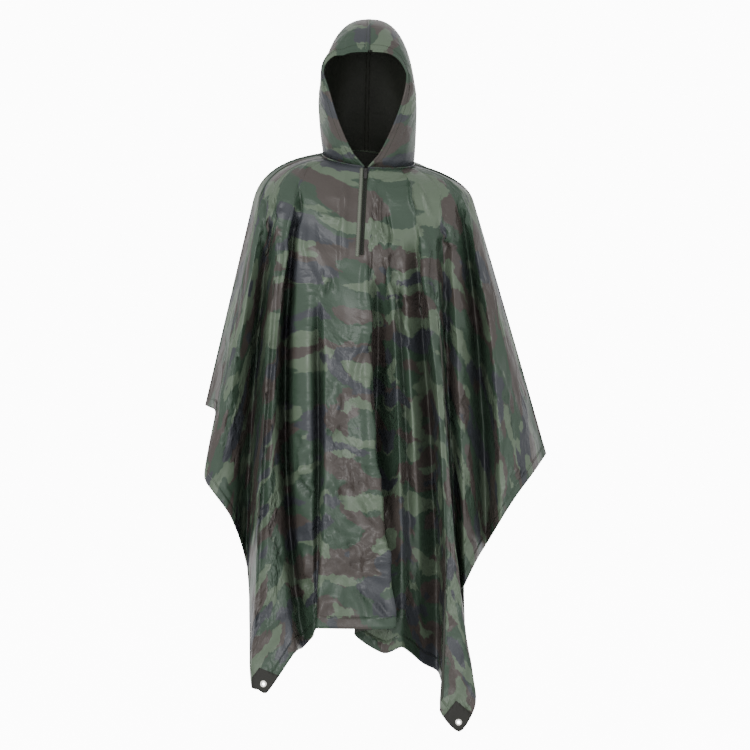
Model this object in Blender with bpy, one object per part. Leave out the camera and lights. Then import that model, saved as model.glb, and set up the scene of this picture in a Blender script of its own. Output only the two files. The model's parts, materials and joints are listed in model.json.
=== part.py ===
"""Rain poncho: one draped sheet with a two-panel hood and a short neck zip.

Frame: metres, +Z up, +X to the right of someone facing the garment, front towards -Y.
The origin is the middle of the neck, at the height of the shoulders, where the wearer holds it up.
"""

import math
from collections import namedtuple

import bmesh
import bpy
import numpy as np
from mathutils import Vector
from mathutils.bvhtree import BVHTree

# --------------------------------------------------------------------------- driving dimensions
WALL = 0.0015            # thickness of every cloth wall
SEAM_GAP = 0.0003        # gap between pieces that are sewn together
CLOTH_STEP = 0.032       # aim for the spacing of points across the folds

NECK_LEFT = 0.098        # half-widths and half-depth of the neck seam
NECK_RIGHT = 0.108
NECK_DEPTH = 0.098
NECK_HEIGHT = 0.013      # mean height of the neck seam
NECK_TILT_FRONT = 0.024  # how far the seam dips at the throat and rises at the nape
NECK_TILT_RIGHT = 0.011  # how far it dips on the right shoulder
SHOULDER_SLOPE = 0.15    # fall of the shoulder for each metre out from the neck
SLOPE_DIFFERENCE = 0.07  # how much steeper than that it is on the right, and flatter on the left

CAP_BOTTOM = -0.080      # height where the shoulder cap ends and the cloth starts to hang
CAP_ROWS = 4
HANG_ROWS = 16
HEM_ROW = 0.945          # share of the drop where the last row above the hem lies
SEAM_LINE = "arm_seam"   # start of the name of each fold line that lies in the shoulder seam

ZIP_TOP_X = 0.000        # the slit leans a little from the throat down
ZIP_FOOT_X = -0.010
ZIP_FOOT_Z = -0.208
SLIT_WIDTH = 0.0096
SLIT_CUT_TOP = 0.06      # the slit's cutter runs from its foot up past the neck seam
SLIT_CUT_FRONT = -0.30   # and from here in front of the chest
SLIT_CUT_BACK = -0.05    # to here behind it
TAPE_WIDTH = 0.013
TAPE_THICKNESS = 0.0010
TAPE_SPLIT = 0.0012      # gap between the two tapes, where the teeth mesh
TAPE_TAIL = 0.006        # how far the tapes run on below the slit's foot
FLY_SETBACK = 0.0006     # from the slit's edge to the fly strip
FLY_TAIL = 0.004
FLY_WIDTH = 0.0080
FLY_THICKNESS = 0.0012
TAPE_ROWS = 24
ZIP_GAP = 0.0006         # gap between the cloth and the strips of the zip
ZIP_START = 0.0030       # drop from the neck seam to the top of the tapes

SLIDER_LENGTH = 0.0105
SLIDER_WIDTH = 0.0080
SLIDER_DEPTH = 0.0034
SLIDER_BACK = 0.0002     # how far the slider's back stands off the inside of the cloth
SLIDER_EDGE = 0.0006     # its rounded edges
SLIDER_DROP = 0.0080     # distance of its middle below the neck seam
BRIDGE_WIDTH = 0.0024
BRIDGE_LENGTH = 0.0072
BRIDGE_RISE = 0.0036
BRIDGE_LEG = 0.0012      # thickness of the bridge's legs along the slit
BRIDGE_ROOT = 0.0008     # how far they run down into the slider
PULL_LENGTH = 0.0230
PULL_WIDTH = 0.0066
PULL_CORNER = (0.0016, 0.0022)  # the tip's cut corners, across and along
PULL_ARM = 0.0012        # width of the loop's arms beside the bridge
PULL_BAR_RADIUS = 0.0007 # half the pull's thickness
PULL_REST = 0.0005       # gap under the cross bar

EYELET_HOLE_RADIUS = 0.0034
EYELET_BARREL_RADIUS = 0.0042
EYELET_FLANGE_RADIUS = 0.0074
EYELET_FLANGE = 0.0008
EYELET_ROUNDING = 0.0008 # how much narrower a flange is on its outer face
EYELET_SIDES = 20
PUNCH_DEPTH = 0.012      # length of the cutter for an eyelet's hole
EYELET_SETBACK = 0.021   # from the corner of the sheet to the middle of the eyelet
PATCH_THICKNESS = 0.0010
PATCH_SIDE = 0.048       # side of the square that reinforces each corner
PATCH_SPARE = 0.004      # how far its outline runs past the hems, to cut cleanly
CUTTER_REACH = 0.15      # half-length of the prism that cuts it

# ------------------------------------------------------------------------------- the body's form
# Outer form of the hanging cloth: half-widths to the left and right of the neck, and depths in
# front and behind, at a few heights. Folds go in from this form.
Level = namedtuple("Level", "z left right front back")
BODY_FORM = [
    Level(-0.00, 0.215, 0.205, 0.100, 0.100),
    Level(-0.08, 0.254, 0.241, 0.130, 0.128),
    Level(-0.20, 0.281, 0.276, 0.152, 0.148),
    Level(-0.30, 0.306, 0.306, 0.164, 0.157),
    Level(-0.42, 0.333, 0.341, 0.175, 0.163),
    Level(-0.55, 0.366, 0.375, 0.186, 0.170),
    Level(-0.65, 0.372, 0.406, 0.194, 0.176),
    Level(-1.00, 0.372, 0.412, 0.216, 0.196),
    Level(-1.30, 0.372, 0.412, 0.228, 0.208),
]
FOLD_ONSET = 0.16        # share of a fold's growth over which it opens softly
FORM_SQUARE = 2.4        # exponent of each quarter's outline: 2 is an ellipse, more is squarer
FORM_UPWARD = 0.12       # the cloth faces out and a little up: this is the up part, beside x and y

# Fold lines hang from the shoulder cap to the hem. Each row: where the line stands at the cap,
# half way down and at the hem, how low its hem is, how deep it lies behind the outer form half
# way down and at the hem, the share of its drop where that depth starts, and how soft its bend is.
Fold = namedtuple("Fold", "name x_top x_mid x_hem z_hem deep_mid deep_hem start soft")
FRONT_FOLDS = [
    Fold("arm_seam_left", -0.254, -0.308, -0.362, -0.540, 0.000, 0.000, 0.00, 1.0),
    Fold("arm_crease", -0.241, -0.292, -0.336, -0.556, 0.012, 0.022, 0.00, 0.7),
    Fold("arm_front", -0.233, -0.290, -0.360, -0.702, 0.000, 0.000, 0.00, 0.9),
    Fold("arm_ridge", -0.224, -0.282, -0.342, -0.730, 0.000, 0.012, 0.00, 0.6),
    Fold("arm_inner", -0.214, -0.266, -0.300, -0.790, 0.050, 0.060, 0.05, 0.9),
    Fold("arm_valley", -0.204, -0.252, -0.268, -0.902, 0.130, 0.150, 0.03, 0.9),
    Fold("side_ridge", -0.187, -0.227, -0.250, -1.158, 0.000, 0.000, 0.00, 0.6),
    Fold("side_dimple", -0.178, -0.221, -0.236, -1.162, 0.012, 0.004, 0.00, 0.8),
    Fold("corner_left", -0.163, -0.210, -0.218, -1.169, 0.000, 0.000, 0.00, 0.7),
    Fold("corner_flank", -0.157, -0.196, -0.158, -1.084, 0.026, 0.012, 0.00, 0.8),
    Fold("chest_valley", -0.151, -0.181, -0.140, -1.076, 0.128, 0.085, 0.00, 0.9),
    Fold("pouch_edge", -0.140, -0.161, -0.126, -1.060, 0.018, 0.080, 0.10, 0.5),
    Fold("pouch_ridge", -0.128, -0.121, -0.116, -1.047, 0.000, 0.062, 0.10, 0.8),
    Fold("panel_valley", -0.117, -0.104, -0.111, -1.032, 0.055, 0.058, 0.22, 0.8),
    Fold("panel_left", -0.104, -0.090, -0.106, -1.026, 0.000, 0.000, 0.20, 0.5),
    Fold("panel_middle", -0.056, -0.044, -0.021, -1.027, 0.004, 0.004, 0.20, 1.0),
    Fold("panel_right", -0.018, 0.006, 0.049, -1.026, 0.000, 0.000, 0.20, 0.8),
    Fold("panel_edge", 0.000, 0.019, 0.067, -1.024, 0.014, 0.008, 0.20, 0.4),
    Fold("panel_return", 0.013, 0.022, -0.026, -1.046, 0.092, 0.110, 0.16, 0.8),
    Fold("second_left", 0.030, 0.055, 0.040, -1.086, 0.038, 0.072, 0.12, 0.8),
    Fold("second_ridge", 0.042, 0.072, 0.078, -1.070, 0.004, 0.042, 0.12, 0.6),
    Fold("second_crease", 0.054, 0.088, 0.098, -1.086, 0.040, 0.088, 0.08, 0.8),
    Fold("crumpled_ridge", 0.074, 0.106, 0.126, -1.112, 0.012, 0.118, 0.05, 0.8),
    Fold("side_valley", 0.098, 0.142, 0.160, -1.134, 0.098, 0.140, 0.05, 0.8),
    Fold("long_ridge", 0.108, 0.164, 0.169, -1.176, 0.000, 0.012, 0.00, 0.5),
    Fold("corner_face", 0.120, 0.175, 0.161, -1.206, 0.006, 0.014, 0.00, 0.9),
    Fold("corner_right", 0.136, 0.183, 0.204, -1.252, 0.006, 0.002, 0.00, 0.9),
    Fold("corner_side", 0.150, 0.181, 0.234, -1.211, 0.010, -0.006, 0.00, 0.9),
    Fold("corner_back", 0.160, 0.177, 0.241, -1.174, 0.030, 0.002, 0.00, 0.8),
    Fold("thin_crease", 0.171, 0.186, 0.205, -0.968, 0.060, 0.102, 0.03, 0.9),
    Fold("side_pleat", 0.186, 0.205, 0.218, -0.932, 0.006, 0.030, 0.03, 0.7),
    Fold("pleat_flank", 0.198, 0.226, 0.242, -0.886, 0.030, 0.050, 0.00, 0.9),
    Fold("arm_hollow", 0.208, 0.255, 0.268, -0.850, 0.118, 0.110, 0.00, 0.9),
    Fold("sleeve_ridge", 0.220, 0.281, 0.296, -0.795, 0.006, 0.020, 0.00, 0.6),
    Fold("sleeve_face", 0.229, 0.304, 0.332, -0.740, 0.000, 0.006, 0.00, 0.9),
    Fold("sleeve_side", 0.236, 0.313, 0.368, -0.694, 0.004, 0.004, 0.00, 0.9),
    Fold("arm_seam_right", 0.241, 0.324, 0.405, -0.650, 0.000, 0.000, 0.00, 1.0),
]
BACK_FOLDS = [
    Fold("arm_seam_left", -0.254, -0.308, -0.362, -0.540, 0.000, 0.000, 0.00, 1.0),
    Fold("arm_crease", -0.245, -0.292, -0.336, -0.562, 0.014, 0.026, 0.00, 0.8),
    Fold("elbow_ridge", -0.232, -0.290, -0.336, -0.640, 0.000, 0.000, 0.00, 0.7),
    Fold("elbow_inner", -0.218, -0.268, -0.296, -0.720, 0.040, 0.050, 0.05, 0.9),
    Fold("elbow_valley", -0.205, -0.250, -0.262, -0.800, 0.115, 0.120, 0.03, 0.9),
    Fold("tail_side", -0.190, -0.232, -0.254, -1.096, 0.004, 0.004, 0.00, 0.6),
    Fold("corner_left", -0.172, -0.212, -0.228, -1.156, 0.000, 0.000, 0.00, 0.8),
    Fold("tail_flank", -0.158, -0.194, -0.188, -1.085, 0.010, 0.008, 0.00, 0.8),
    Fold("blade_valley", -0.146, -0.176, -0.172, -1.050, 0.105, 0.100, 0.06, 0.8),
    Fold("blade_ridge", -0.128, -0.152, -0.158, -1.036, 0.000, 0.004, 0.03, 0.5),
    Fold("blade_face", -0.110, -0.126, -0.126, -1.026, 0.006, 0.010, 0.03, 0.9),
    Fold("inner_valley", -0.094, -0.104, -0.100, -1.018, 0.074, 0.088, 0.16, 0.8),
    Fold("spine_left", -0.074, -0.080, -0.096, -1.012, 0.000, 0.000, 0.12, 0.5),
    Fold("spine", -0.022, -0.016, -0.030, -1.004, 0.006, 0.004, 0.12, 1.0),
    Fold("spine_right", 0.028, 0.038, 0.034, -1.006, 0.000, 0.000, 0.12, 0.6),
    Fold("spine_return", 0.046, 0.054, 0.030, -1.010, 0.084, 0.096, 0.14, 0.8),
    Fold("yoke_ridge", 0.066, 0.086, 0.090, -1.016, 0.004, 0.006, 0.10, 0.5),
    Fold("yoke_face", 0.086, 0.112, 0.118, -1.026, 0.006, 0.008, 0.06, 0.9),
    Fold("yoke_valley", 0.104, 0.134, 0.136, -1.046, 0.088, 0.104, 0.05, 0.8),
    Fold("tail_ridge", 0.124, 0.158, 0.168, -1.092, 0.000, 0.014, 0.02, 0.5),
    Fold("corner_right", 0.146, 0.182, 0.204, -1.172, 0.004, 0.002, 0.00, 0.8),
    Fold("tail_back", 0.164, 0.200, 0.226, -1.110, 0.020, 0.000, 0.00, 0.8),
    Fold("side_valley", 0.182, 0.222, 0.222, -0.880, 0.108, 0.110, 0.03, 0.9),
    Fold("sleeve_pleat", 0.200, 0.252, 0.268, -0.812, 0.004, 0.014, 0.02, 0.6),
    Fold("sleeve_hollow", 0.214, 0.272, 0.294, -0.768, 0.074, 0.080, 0.02, 0.9),
    Fold("sleeve_ridge", 0.226, 0.300, 0.334, -0.716, 0.000, 0.000, 0.00, 0.6),
    Fold("sleeve_side", 0.235, 0.314, 0.370, -0.676, 0.006, 0.006, 0.00, 0.9),
    Fold("arm_seam_right", 0.241, 0.324, 0.405, -0.648, 0.000, 0.000, 0.00, 1.0),
]

# The fold line at each corner of the sheet, and the two between which its reinforcement lies.
Corner = namedtuple("Corner", "name first last")
FRONT_CORNERS = [
    Corner("corner_left", "side_ridge", "corner_flank"),
    Corner("corner_right", "long_ridge", "corner_back"),
]
BACK_CORNERS = [
    Corner("corner_left", "tail_side", "tail_flank"),
    Corner("corner_right", "tail_ridge", "tail_back"),
]

# ---------------------------------------------------------------------------------- the hood's form
# Arches from the neck seam up to the crown seam, from the face opening to the nape. Each row:
# where the arch leaves the neck seam (degrees round from the throat), where it meets the crown
# seam, its half-width, how square it is, how far up it reaches its full width, and how far its
# middle leans forward (negative) or back.
Arch = namedtuple("Arch", "angle crown_y crown_z half_width square full_at lean")
HOOD_ARCHES = [
    Arch(3, -0.128, 0.243, 0.104, 3.6, 0.80, -0.020),
    Arch(18, -0.113, 0.272, 0.112, 3.0, 0.62, -0.014),
    Arch(42, -0.085, 0.302, 0.116, 2.8, 0.50, -0.006),
    Arch(70, -0.040, 0.322, 0.116, 2.7, 0.40, 0.000),
    Arch(95, 0.015, 0.326, 0.113, 2.5, 0.40, 0.004),
    Arch(118, 0.075, 0.303, 0.104, 2.3, 0.40, 0.014),
    Arch(135, 0.122, 0.245, 0.092, 2.1, 0.40, 0.022),
    Arch(146, 0.140, 0.165, 0.074, 2.0, 0.40, 0.018),
    Arch(154, 0.128, 0.090, 0.056, 2.0, 0.40, 0.008),
]
NAPE_ANGLE = 160         # where the last arch lies down along the neck seam
HOOD_ROWS = 13
HOOD_COLUMN_STEP = 0.020
HOOD_HEIGHT = 0.32
HOOD_LIFT = 0.0005       # gap over the neck seam
HOOD_OPENING = 0.7       # how early an arch widens above the neck: under 1 is early
HOOD_LEAN = 0.006        # how far the crown stands over to the right
HOOD_LEAN_CURVE = 1.5
HOOD_LEFT_SHARE = 0.97   # the left half's width beside the right half's
BRIM_TURN = 0.019        # how far the left edge of the face opening is turned out
BRIM_TURN_HEIGHT = 0.222
BRIM_TURN_SPREAD = 0.044
BRIM_TURN_WIDTH = 0.035  # how far back from the edge that turn reaches
BRIM_TURN_START = -0.05  # only the cloth to the left of this is turned
HOOD_MIDDLE = (0.0, 0.01, 0.12)

Finish = namedtuple("Finish", "colour roughness metallic")
CLOTH = Finish((0.060, 0.085, 0.055), 0.42, 0.0)
HOOD_CLOTH = Finish((0.050, 0.070, 0.050), 0.42, 0.0)
PATCH_CLOTH = Finish((0.012, 0.014, 0.013), 0.55, 0.0)
TAPE = Finish((0.020, 0.024, 0.018), 0.80, 0.0)
SLIDER_METAL = Finish((0.025, 0.025, 0.026), 0.38, 0.9)
EYELET_METAL = Finish((0.62, 0.62, 0.60), 0.28, 1.0)


# ------------------------------------------------------------------------------------ small helpers
def clear_scene():
    for thing in list(bpy.data.objects):
        bpy.data.objects.remove(thing, do_unlink=True)


def material(name, finish):
    made = bpy.data.materials.new(name)
    made.use_nodes = True
    shader = made.node_tree.nodes["Principled BSDF"]
    shader.inputs["Base Color"].default_value = (*finish.colour, 1.0)
    shader.inputs["Roughness"].default_value = finish.roughness
    shader.inputs["Metallic"].default_value = finish.metallic
    return made


def object_from_bmesh(bm, name, finish, smooth=True):
    bmesh.ops.recalc_face_normals(bm, faces=bm.faces)
    mesh = bpy.data.meshes.new(name)
    bm.to_mesh(mesh)
    bm.free()
    if smooth:
        mesh.shade_smooth()
        mesh.set_sharp_from_angle(angle=math.radians(50))
    mesh.materials.append(material(name + "_finish", finish))
    made = bpy.data.objects.new(name, mesh)
    bpy.context.collection.objects.link(made)
    return made


def smoothstep(share):
    share = np.clip(share, 0.0, 1.0)
    return share * share * (3.0 - 2.0 * share)


def through_three(start, middle, end, share):
    """The value at a share of the way along a curve through three evenly spaced values."""
    first = 2.0 * (share - 0.5) * (share - 1.0)
    second = 4.0 * share * (1.0 - share)
    third = 2.0 * share * (share - 0.5)
    return start * first + middle * second + end * third


def unit(vectors):
    length = np.linalg.norm(vectors, axis=-1, keepdims=True)
    return vectors / np.maximum(length, 1e-12)


# ------------------------------------------------------------------------- surfaces through lines
def loft(lines, soft, steps):
    """Columns through lines of points: smooth across, and sharper where a line's softness is low."""
    knots = np.zeros(len(lines))
    chord = np.linalg.norm(np.diff(lines, axis=0), axis=2).mean(axis=1)
    knots[1:] = np.cumsum(np.sqrt(np.maximum(chord, 1e-6)))
    slope = np.zeros_like(lines)
    for k in range(len(lines)):
        low, high = max(k - 1, 0), min(k + 1, len(lines) - 1)
        if low == k or high == k:
            slope[k] = (lines[high] - lines[low]) / (knots[high] - knots[low])
            continue
        before = (lines[k] - lines[low]) / (knots[k] - knots[low])
        after = (lines[high] - lines[k]) / (knots[high] - knots[k])
        across = (lines[high] - lines[low]) / (knots[high] - knots[low])
        slope[k] = (before + after - across) * soft[k]
    columns = []
    for k in range(len(lines) - 1):
        width = knots[k + 1] - knots[k]
        for part in range(steps[k]):
            s = part / steps[k]
            columns.append(
                lines[k] * (2 * s**3 - 3 * s**2 + 1)
                + slope[k] * width * (s**3 - 2 * s**2 + s)
                + lines[k + 1] * (3 * s**2 - 2 * s**3)
                + slope[k + 1] * width * (s**3 - s**2)
            )
    columns.append(lines[-1])
    return np.array(columns)


def steps_between(lines, spacing, most=4):
    chord = np.linalg.norm(np.diff(lines, axis=0), axis=2).mean(axis=1)
    return [int(min(most, max(1, round(c / spacing)))) for c in chord]


def grid_normals(points, outward):
    """Normals of a grid of points; outward is a vector field that they must agree with."""
    along = np.gradient(points, axis=0)
    down = np.gradient(points, axis=1)
    normals = unit(np.cross(along, down))
    facing = np.sum(normals * outward, axis=2).sum()
    return normals if facing > 0 else -normals


def grid_triangles(points):
    """Triangles of a grid as (column, row) corners, each cell cut along its shorter diagonal."""
    wide, high = points.shape[0], points.shape[1]
    triangles = []
    for i in range(wide - 1):
        for j in range(high - 1):
            cell = [(i, j), (i + 1, j), (i + 1, j + 1), (i, j + 1)]
            a, b, c, d = (points[place] for place in cell)
            short = np.linalg.norm(a - c) < np.linalg.norm(b - d)
            halves = ((0, 1, 2), (0, 2, 3)) if short else ((0, 1, 3), (1, 2, 3))
            triangles += [[cell[n] for n in half] for half in halves]
    return triangles


def surface_tree(points):
    """The faceted surface through a grid, for finding places on it with a ray."""
    high = points.shape[1]
    flat = [Vector(p) for p in points.reshape(-1, 3)]
    faces = [[i * high + j for i, j in triangle] for triangle in grid_triangles(points)]
    return BVHTree.FromPolygons(flat, faces)


def wall_from_grids(outer, inner, name, finish):
    """One closed cloth wall between an outer and an inner grid of the same size."""
    bm = bmesh.new()
    front, back = ([[bm.verts.new(p) for p in column] for column in grid] for grid in (outer, inner))
    for triangle in grid_triangles(outer):
        bm.faces.new([front[i][j] for i, j in triangle])
        bm.faces.new([back[i][j] for i, j in reversed(triangle)])
    wide, high = outer.shape[0], outer.shape[1]
    rim = [(i, 0) for i in range(wide)] + [(wide - 1, j) for j in range(1, high)]
    rim += [(i, high - 1) for i in range(wide - 2, -1, -1)] + [(0, j) for j in range(high - 2, 0, -1)]
    for here, after in zip(rim, rim[1:] + rim[:1]):
        a, b = front[here[0]][here[1]], front[after[0]][after[1]]
        c, d = back[after[0]][after[1]], back[here[0]][here[1]]
        bm.faces.new([a, c, b])
        bm.faces.new([a, d, c])
    return object_from_bmesh(bm, name, finish)


# ---------------------------------------------------------------------------------------- the neck
def neck_point(angle, lift=0.0):
    """The neck seam at an angle in degrees from the throat, positive to the right."""
    turn = np.radians(angle)
    width = np.where(np.sin(turn) < 0, NECK_LEFT, NECK_RIGHT)
    return np.stack([
        width * np.sin(turn),
        -NECK_DEPTH * np.cos(turn),
        NECK_HEIGHT - NECK_TILT_FRONT * np.cos(turn) - NECK_TILT_RIGHT * np.sin(turn) + lift,
    ], axis=-1)


def neck_outward(angle):
    """The level direction out of the neck at an angle from the throat."""
    turn = np.radians(angle)
    flat = np.stack([np.sin(turn), -np.cos(turn), np.zeros_like(turn)], axis=-1)
    return unit(flat)


# ----------------------------------------------------------------------------------------- the body
def form_depth(x, z, column):
    """Distance of the outer form in front of, or behind, the middle at a place across."""
    heights = [level.z for level in BODY_FORM][::-1]
    left = np.interp(z, heights, [level.left for level in BODY_FORM][::-1])
    right = np.interp(z, heights, [level.right for level in BODY_FORM][::-1])
    depth = np.interp(z, heights, [getattr(level, column) for level in BODY_FORM][::-1])
    reach = np.where(x < 0, left, right)
    across = np.clip(np.abs(x) / reach, 0.0, 1.0)
    return depth * (1.0 - across**FORM_SQUARE) ** (1.0 / FORM_SQUARE)


def hang_point(fold, share, column):
    """A point of a fold line, at a share of its drop from the shoulder cap to the hem."""
    x = through_three(fold.x_top, fold.x_mid, fold.x_hem, share)
    z = CAP_BOTTOM + share * (fold.z_hem - CAP_BOTTOM)
    climb = np.clip((share - fold.start) / (0.5 - fold.start), 0.0, 1.0)
    grown = climb * (2.0 - climb) * smoothstep(climb / FOLD_ONSET)
    lower = smoothstep((share - 0.5) / 0.5)
    deep = fold.deep_mid * grown + (fold.deep_hem - fold.deep_mid) * lower
    side = -1.0 if column == "front" else 1.0
    y = side * (form_depth(x, z, column) - deep)
    if fold.name.startswith(SEAM_LINE):
        y = np.full_like(x, side * SEAM_GAP / 2)
    return np.stack([x, y, z + 0.0 * x], axis=-1)


def fold_line(fold, column):
    """All points of one fold line: over the shoulder cap, then down to the hem."""
    top = hang_point(fold, np.array([0.0]), column)[0]
    if fold.name.startswith(SEAM_LINE):
        angle = 90.0 if fold.x_top > 0 else -90.0
    else:
        angle = math.degrees(math.atan2(top[0], -top[1]))
    neck = neck_point(np.array(angle))
    reach = math.hypot(top[0] - neck[0], top[1] - neck[1])
    slope = SHOULDER_SLOPE + SLOPE_DIFFERENCE * math.sin(math.radians(angle))
    rise = neck[2] - slope * reach - CAP_BOTTOM
    share_up = rise / (fold.z_hem - CAP_BOTTOM)
    above = hang_point(fold, np.array([share_up]), column)[0]
    t = np.arange(CAP_ROWS)[:, None] / CAP_ROWS
    cap = neck * (1 - t) ** 2 + above * 2 * t * (1 - t) + top * t**2
    if fold.name.startswith(SEAM_LINE):
        cap[:, 1] = top[1]
    share = np.append(np.linspace(0.0, HEM_ROW, HANG_ROWS), 1.0)
    return np.concatenate([cap, hang_point(fold, share, column)])


def fold_column(folds, steps, name):
    """The grid column that a named fold line became."""
    names = [fold.name for fold in folds]
    return sum(steps[: names.index(name)])


def lay_corner_flat(outer, first, last):
    """Bring the last two rows at a corner into one plane, as the stiff layers there hold them."""
    part = outer[first:last + 1, -2:]
    points = part.reshape(-1, 3)
    terms = np.stack([points[:, 0], points[:, 2], np.ones(len(points))], axis=-1)
    slope_x, slope_z, level = np.linalg.lstsq(terms, points[:, 1], rcond=None)[0]
    part[..., 1] = part[..., 0] * slope_x + part[..., 2] * slope_z + level


def body_grids(folds, column, corners):
    """The outer grid of one body panel, and its normals."""
    lines = np.array([fold_line(fold, column) for fold in folds])
    steps = steps_between(lines, CLOTH_STEP)
    outer = loft(lines, [fold.soft for fold in folds], steps)
    for corner in corners:
        lay_corner_flat(
            outer, fold_column(folds, steps, corner.first), fold_column(folds, steps, corner.last),
        )
    normals = grid_normals(outer, outer * (1.0, 1.0, 0.0) + (0.0, 0.0, FORM_UPWARD))
    angle = np.degrees(np.arctan2(outer[:, 0, 0], -outer[:, 0, 1]))
    normals[:, 0] = neck_outward(angle)
    for edge, side in ((0, -1.0), (-1, 1.0)):
        along = np.gradient(outer[edge], axis=0)
        square = np.stack([-side * along[:, 2], 0 * along[:, 2], side * along[:, 0]], axis=-1)
        normals[edge] = unit(square)
        normals[edge, 0] = (side, 0.0, 0.0)
    return outer, normals, steps


def build_body(folds, column, corners, name):
    outer, normals, steps = body_grids(folds, column, corners)
    made = wall_from_grids(outer, outer - normals * WALL, name, CLOTH)
    return made, outer, normals, steps


# ----------------------------------------------------------------------------------------- the hood
def hood_lean(z):
    """How far to the right the hood's middle stands at a height."""
    return HOOD_LEAN * np.clip(z / HOOD_HEIGHT, 0.0, 1.0) ** HOOD_LEAN_CURVE


def hood_arch(arch, side):
    """Points of one arch of the hood, from the neck seam up to the crown seam."""
    climb = np.linspace(0.0, math.pi / 2, HOOD_ROWS)
    height = np.sin(climb) ** (2.0 / arch.square)
    width = np.cos(climb) ** (2.0 / arch.square)
    foot = neck_point(np.array(side * float(arch.angle)), HOOD_LIFT)
    start = abs(foot[0]) / arch.half_width
    opened = start + (1.0 - start) * np.minimum(height / arch.full_at, 1.0) ** HOOD_OPENING
    z = foot[2] + (arch.crown_z - foot[2]) * height
    share = 1.0 if side > 0 else HOOD_LEFT_SHARE + (1.0 - HOOD_LEFT_SHARE) * (1.0 - opened)
    x = side * share * arch.half_width * width * opened + hood_lean(z)
    y = foot[1] + (arch.crown_y - foot[1]) * height + arch.lean * np.sin(math.pi * height)
    return np.stack([x, y, z], axis=-1)


def turn_brim_out(outer):
    """Turn the upper left edge of the face opening outwards, as a worn hood's edge rolls."""
    high = np.exp(-(((outer[..., 2] - BRIM_TURN_HEIGHT) / BRIM_TURN_SPREAD) ** 2))
    near = np.exp(-(((outer[..., 1] - outer[:1, :, 1]) / BRIM_TURN_WIDTH) ** 2))
    outer[..., 0] -= BRIM_TURN * high * near * (outer[..., 0] < BRIM_TURN_START)


def build_hood(side, name):
    nape = neck_point(side * np.linspace(NAPE_ANGLE, 180.0, HOOD_ROWS), HOOD_LIFT)
    lines = np.array([hood_arch(arch, side) for arch in HOOD_ARCHES] + [nape])
    steps = steps_between(lines, HOOD_COLUMN_STEP)
    outer = loft(lines, [1.0] * len(lines), steps)
    if side < 0:
        turn_brim_out(outer)
    stops = np.cumsum([0] + steps)
    angles = np.interp(np.arange(len(outer)), stops, [a.angle for a in HOOD_ARCHES] + [NAPE_ANGLE])
    outer[:, 0] = neck_point(side * angles, HOOD_LIFT)
    outer[:, -1, 0] = side * SEAM_GAP / 2 + hood_lean(outer[:, -1, 2])
    normals = grid_normals(outer, outer - np.array(HOOD_MIDDLE))
    normals[:, -1, 0] = 0.0
    normals[:, 0] = neck_outward(side * angles)
    normals[-1] = neck_outward(side * np.linspace(NAPE_ANGLE, 180.0, HOOD_ROWS))
    normals[-1, -1] = (0.0, 1.0, 0.0)
    return wall_from_grids(outer, outer - unit(normals) * WALL, name, HOOD_CLOTH)


# ------------------------------------------------------------------------------------------ the zip
def slit_x(z):
    """Middle of the zip's slit at a height."""
    top = neck_point(np.array(0.0))[2]
    return ZIP_FOOT_X + (ZIP_TOP_X - ZIP_FOOT_X) * (z - ZIP_FOOT_Z) / (top - ZIP_FOOT_Z)


def place_on(tree, x, z, side=1):
    """The point and outward normal where a level ray from outside meets the cloth."""
    point, normal, _, _ = tree.ray_cast(Vector((x, -side, z)), Vector((0, side, 0)))
    if normal.y * side > 0:
        normal = -normal
    return np.array(point), np.array(normal)


def strip_on(tree, x_low, x_high, z_top, z_foot, low, high, name, finish):
    """A strip beside the slit, between two heights over the cloth's outer side."""
    rows = np.linspace(z_top, z_foot, TAPE_ROWS)
    under, over = [], []
    for across in (x_low, (x_low + x_high) / 2, x_high):
        found = [place_on(tree, slit_x(z) + across, z) for z in rows]
        under.append([point + normal * low for point, normal in found])
        over.append([point + normal * high for point, normal in found])
    return wall_from_grids(np.array(over), np.array(under), name, finish)


def cut(target, cutter, operation="DIFFERENCE"):
    """Cut a piece with another shape, which stays as a hidden guide."""
    cutter.hide_render = True
    cutter.display_type = "WIRE"
    boolean = target.modifiers.new("cut_" + cutter.name, "BOOLEAN")
    boolean.operation = operation
    boolean.solver = "EXACT"
    boolean.object = cutter


def prism(outline, reach, name, finish):
    """A closed prism from an outline of points, pushed along a reach."""
    bm = bmesh.new()
    face = bm.faces.new([bm.verts.new(point) for point in outline])
    grown = bmesh.ops.extrude_face_region(bm, geom=[face])["geom"]
    moved = [g for g in grown if isinstance(g, bmesh.types.BMVert)]
    bmesh.ops.translate(bm, verts=moved, vec=reach)
    return object_from_bmesh(bm, name, finish, smooth=False)


def slit_cutter():
    corners = [(ZIP_FOOT_Z, -0.5), (ZIP_FOOT_Z, 0.5), (SLIT_CUT_TOP, 0.5), (SLIT_CUT_TOP, -0.5)]
    outline = [(float(slit_x(z)) + side * SLIT_WIDTH, SLIT_CUT_FRONT, z) for z, side in corners]
    return prism(outline, (0, SLIT_CUT_BACK - SLIT_CUT_FRONT, 0), "slit_cutter", TAPE)


def zip_frame(tree):
    """Origin and axes of the slider: across, down along the slit, and out of the cloth."""
    top = neck_point(np.array(0.0))[2]
    z = top - SLIDER_DROP
    point, normal = place_on(tree, float(slit_x(z)), z)
    below, _ = place_on(tree, float(slit_x(z - SLIDER_LENGTH)), z - SLIDER_LENGTH)
    down = unit(below - point)
    out = unit(normal - down * np.dot(normal, down))
    across = np.cross(down, out)
    return point, across, down, out


def put_in_frame(made, frame):
    """Place a piece built in the slider's own axes: X across, Y down the slit, Z out."""
    point, across, down, out = frame
    for vert in made.data.vertices:
        x, y, z = vert.co
        vert.co = Vector(point + across * x + down * y + out * z)


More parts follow.
